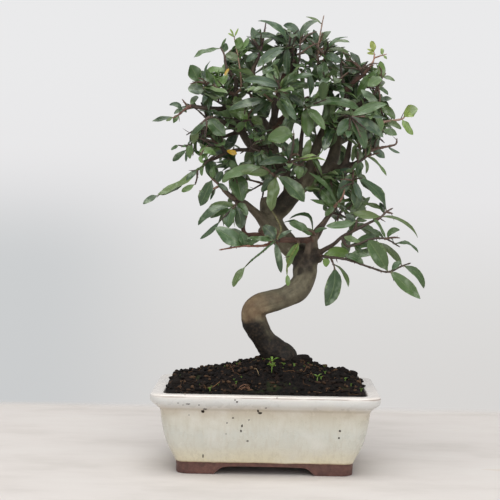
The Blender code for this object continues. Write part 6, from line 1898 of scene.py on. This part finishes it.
def build_spray(name, twigs, leaves, limbs, looks):
    """One spray as one piece: its twigs, buds and thorns, and every leaf on them."""
    chance = random.Random(name + " looks")
    vertices, faces, grid, facts, shades, kinds = [], [], [], [], [], []

    def add(mesh_vertices, mesh_faces, kind, uv, fact, shade):
        start = len(vertices)
        vertices.extend(drawn_in(vertex) for vertex in mesh_vertices)
        for face, under in zip(mesh_faces, fact[1]):
            faces.append(tuple(start + k for k in face))
            kinds.append(kind)
            facts.extend([(fact[0], 1.0 if under else 0.0, fact[2])] * len(face))
            grid.extend([uv[k] for k in face])
        shades.extend([linear(shade)[:3]] * len(mesh_vertices))

    def add_wood(mesh_data, shade):
        plain = (0, [False] * len(mesh_data[1]), 0)
        add(*mesh_data, 1, [(0, 0)] * len(mesh_data[0]), plain, shade)

    young = name in YOUNG_SPRAYS
    slim = THIN_TWIG if name in THIN_SPRAYS else FULL_TWIG
    for index, twig in enumerate(twigs):
        inward = (nearest_axis(limbs, twig.points[0]) - twig.points[0]).normalized()
        path, sizes = fine_twig(twig, index == 0, slim, inward, chance)
        shade = chance.choice(YOUNG_SHADES if young else TWIG_SHADES)
        shade = GREEN_TWIGS.get((name, index), shade)
        add_wood(tube(path, sizes, 7), shade)
        for i in range(3, len(path) - 1, 4):
            way = (path[i + 1] - path[i - 1]).normalized()
            side = spoke_of(way, chance)
            thorn = chance.random() < THORN_SHARE
            reach = chance.uniform(*(THORN_REACH if thorn else BUD_REACH))
            tip = path[i] + (side + way * 0.6).normalized() * (reach + sizes[i])
            thick = sizes[i] * 0.55
            spike = tube([path[i], path[i].lerp(tip, 0.6), tip], [thick, thick * 0.7, thick * 0.15], 5)
            add_wood(spike, THORN_SHADE if thorn else BUD_SHADE)
    for leaf in leaves:
        mesh_vertices, mesh_faces, uv, under = fine_leaf(leaf, chance)
        fact = (freshness(leaf), under, leaf_tone(leaf, chance.random()))
        add(mesh_vertices, mesh_faces, 0, uv, fact, "000000")
    made = new_object("foliage_" + name, vertices, faces, looks)
    mesh = made.data
    mesh.polygons.foreach_set("material_index", kinds)
    layer = mesh.uv_layers.new(name="blade")
    layer.data.foreach_set("uv", [value for pair in grid for value in pair])
    colours = mesh.attributes.new("leaf", "FLOAT_COLOR", "CORNER")
    colours.data.foreach_set("color", [value for fact in facts for value in (*fact, 1.0)])
    paint(made, "shade", shades)
    mesh.shade_smooth()
    mesh.set_sharp_from_angle(angle=LEAF_SHARP)
    return hand_over(made, "leaf", "spray_" + name)


def weed(heap, foot, height, leaves, chance):
    """One weed: a thin stem and a few small pointed leaves, some pairs one above the other."""
    lean = Vector((chance.uniform(-0.2, 0.2), chance.uniform(-0.2, 0.2), 1.0)).normalized()
    top = foot + lean * height
    stem = [foot - Vector((0, 0, 0.002)), foot.lerp(top, 0.5), top]
    heap.add(tube(stem, WEED_STEM, 8), "6E8A42")
    tiers = [(top, row) for row in leaves]
    if height > TWO_TIERS:
        low = foot.lerp(top, 0.55)
        tiers += [(low, (turn + 48, reach * 0.9, rise, width)) for turn, reach, rise, width in leaves]
    for start, (turn, reach, rise, width) in tiers:
        angle = math.radians(turn)
        tip = start + Vector((math.cos(angle) * reach, math.sin(angle) * reach, rise))
        bulge = Vector((0, 0, rise * 0.3 + reach * 0.08))
        leaf = Leaf(start - lean * 0.0003, tip, bulge, Vector((0, 0, 1)), width)
        heap.add(fine_leaf(leaf, chance)[:2], chance.choice(WEED_SHADES))


def build_weeds(look):
    """The two weeds of the plan, and the smaller ones and moss tufts that the soil also carries."""
    for name, foot, height, rows in SEEDLINGS:
        heap = Heap()
        weed(heap, on_soil(*foot), height, rows, random.Random(name))
        hand_over(heap.piece("weed_" + name, look), "weed", name)
    heap = Heap()
    chance = random.Random("small weeds")
    for across, down, height in SMALL_WEEDS:
        rows = []
        turn = chance.uniform(0, 360)
        for k in range(chance.randrange(3, 6)):
            rows.append((turn + k * 137, height * chance.uniform(0.6, 1.0), height * chance.uniform(0.1, 0.4),
                         height * chance.uniform(0.3, 0.42)))
        foot = on_soil(across, down)
        weed(heap, foot, height, rows, chance)
    for index in range(MOSS_TUFTS):
        x = POT_MIDDLE.x + chance.uniform(-0.06, 0.06)
        y = POT_MIDDLE.y + chance.uniform(-0.042, 0.042)
        foot = Vector((x, y, soil_top(x, y)))
        for _ in range(5):
            way = Vector((chance.uniform(-1, 1), chance.uniform(-1, 1), 1.2)).normalized()
            tip = foot + way * chance.uniform(0.0009, 0.0018)
            heap.add(tube([foot, tip], MOSS_BLADE, 4), chance.choice(MOSS_SHADES))
    return hand_over(heap.piece("small_weeds_and_moss", look), "weed")


def build_splashes(look, pot):
    """Dried soil specks on the front glaze, where the real pot has them."""
    skin = BVHTree.FromObject(pot, bpy.context.evaluated_depsgraph_get())
    heap = Heap()
    eye = EYE + POT_MIDDLE
    for index, (across, down, wide, high) in enumerate(SPLASHES):
        way = (seen(across, down, 0) - eye).normalized()
        spot, normal, _, _ = skin.ray_cast(eye, way)
        if spot is None:
            continue
        side = Vector((0, 0, 1)).cross(normal).normalized()
        up = normal.cross(side)
        axes = [side * (wide * STEP / 2), up * (high * STEP / 2), normal * 0.00022]
        heap.add(lump(spot, axes, index, (6, 10)), "2B211A")
    return hand_over(heap.piece("soil_splashes", look), "soil")


def build_stage():
    """Floor, soft light from above and in front, and the camera where the photograph has it."""
    corners = [(x * FLOOR_REACH, y * FLOOR_REACH, 0) for x, y in ((-1, -1), (1, -1), (1, 1), (-1, 1))]
    new_object("floor", corners, [(0, 1, 2, 3)], [floor_look()])
    room = lump(Vector(), half_axes(ROOM_RADIUS, ROOM_RADIUS, ROOM_RADIUS), None, (48, 64))
    room = new_object("room", *room, [room_look()])
    room.visible_diffuse = room.visible_glossy = room.visible_shadow = False
    world = bpy.data.worlds.new("soft room")
    world.use_nodes = True
    back = world.node_tree.nodes["Background"]
    back.inputs["Color"].default_value = linear("EBEBEC")
    back.inputs["Strength"].default_value = ROOM_LIGHT
    bpy.context.scene.world = world
    for name, place, size, power in LIGHTS:
        lamp = bpy.data.lights.new(name, "AREA")
        lamp.size = size
        lamp.energy = power
        made = bpy.data.objects.new(name, lamp)
        made.location = place
        aim = LIGHT_AIM - Vector(place)
        made.rotation_euler = aim.to_track_quat("-Z", "Y").to_euler()
        bpy.context.scene.collection.objects.link(made)
    right, ahead, above = eye_axes()
    side = right * math.cos(EYE_ROLL) + above * math.sin(EYE_ROLL)
    up = above * math.cos(EYE_ROLL) - right * math.sin(EYE_ROLL)
    lens = bpy.data.cameras.new("eye")
    lens.sensor_width = SENSOR
    lens.lens = SENSOR * VIEW_FOCUS / (2 * VIEW_MIDDLE)
    lens.clip_end = 200.0
    eye = bpy.data.objects.new("eye", lens)
    turn = Matrix((side, up, -ahead)).transposed()
    eye.matrix_world = Matrix.Translation(EYE + POT_MIDDLE) @ turn.to_4x4()
    bpy.context.scene.collection.objects.link(eye)
    bpy.context.scene.camera = eye
    bpy.context.scene.view_settings.view_transform = "Standard"


def main():
    """Grows the plan, then builds the stage and every piece."""
    limbs, twigs, leaves, small = grow()
    build_stage()
    pot = build_pot(glaze_look())
    build_soil(soil_look())
    crumbs = crumb_look()
    build_crumbs(crumbs)
    build_splashes(crumbs, pot)
    build_trunk(bark_look(), limbs)
    looks = [leaf_look(), twig_look()]
    for name in twigs:
        build_spray(name, twigs[name], leaves[name] + small[name], limbs, looks)
    build_weeds(weed_look())


main()
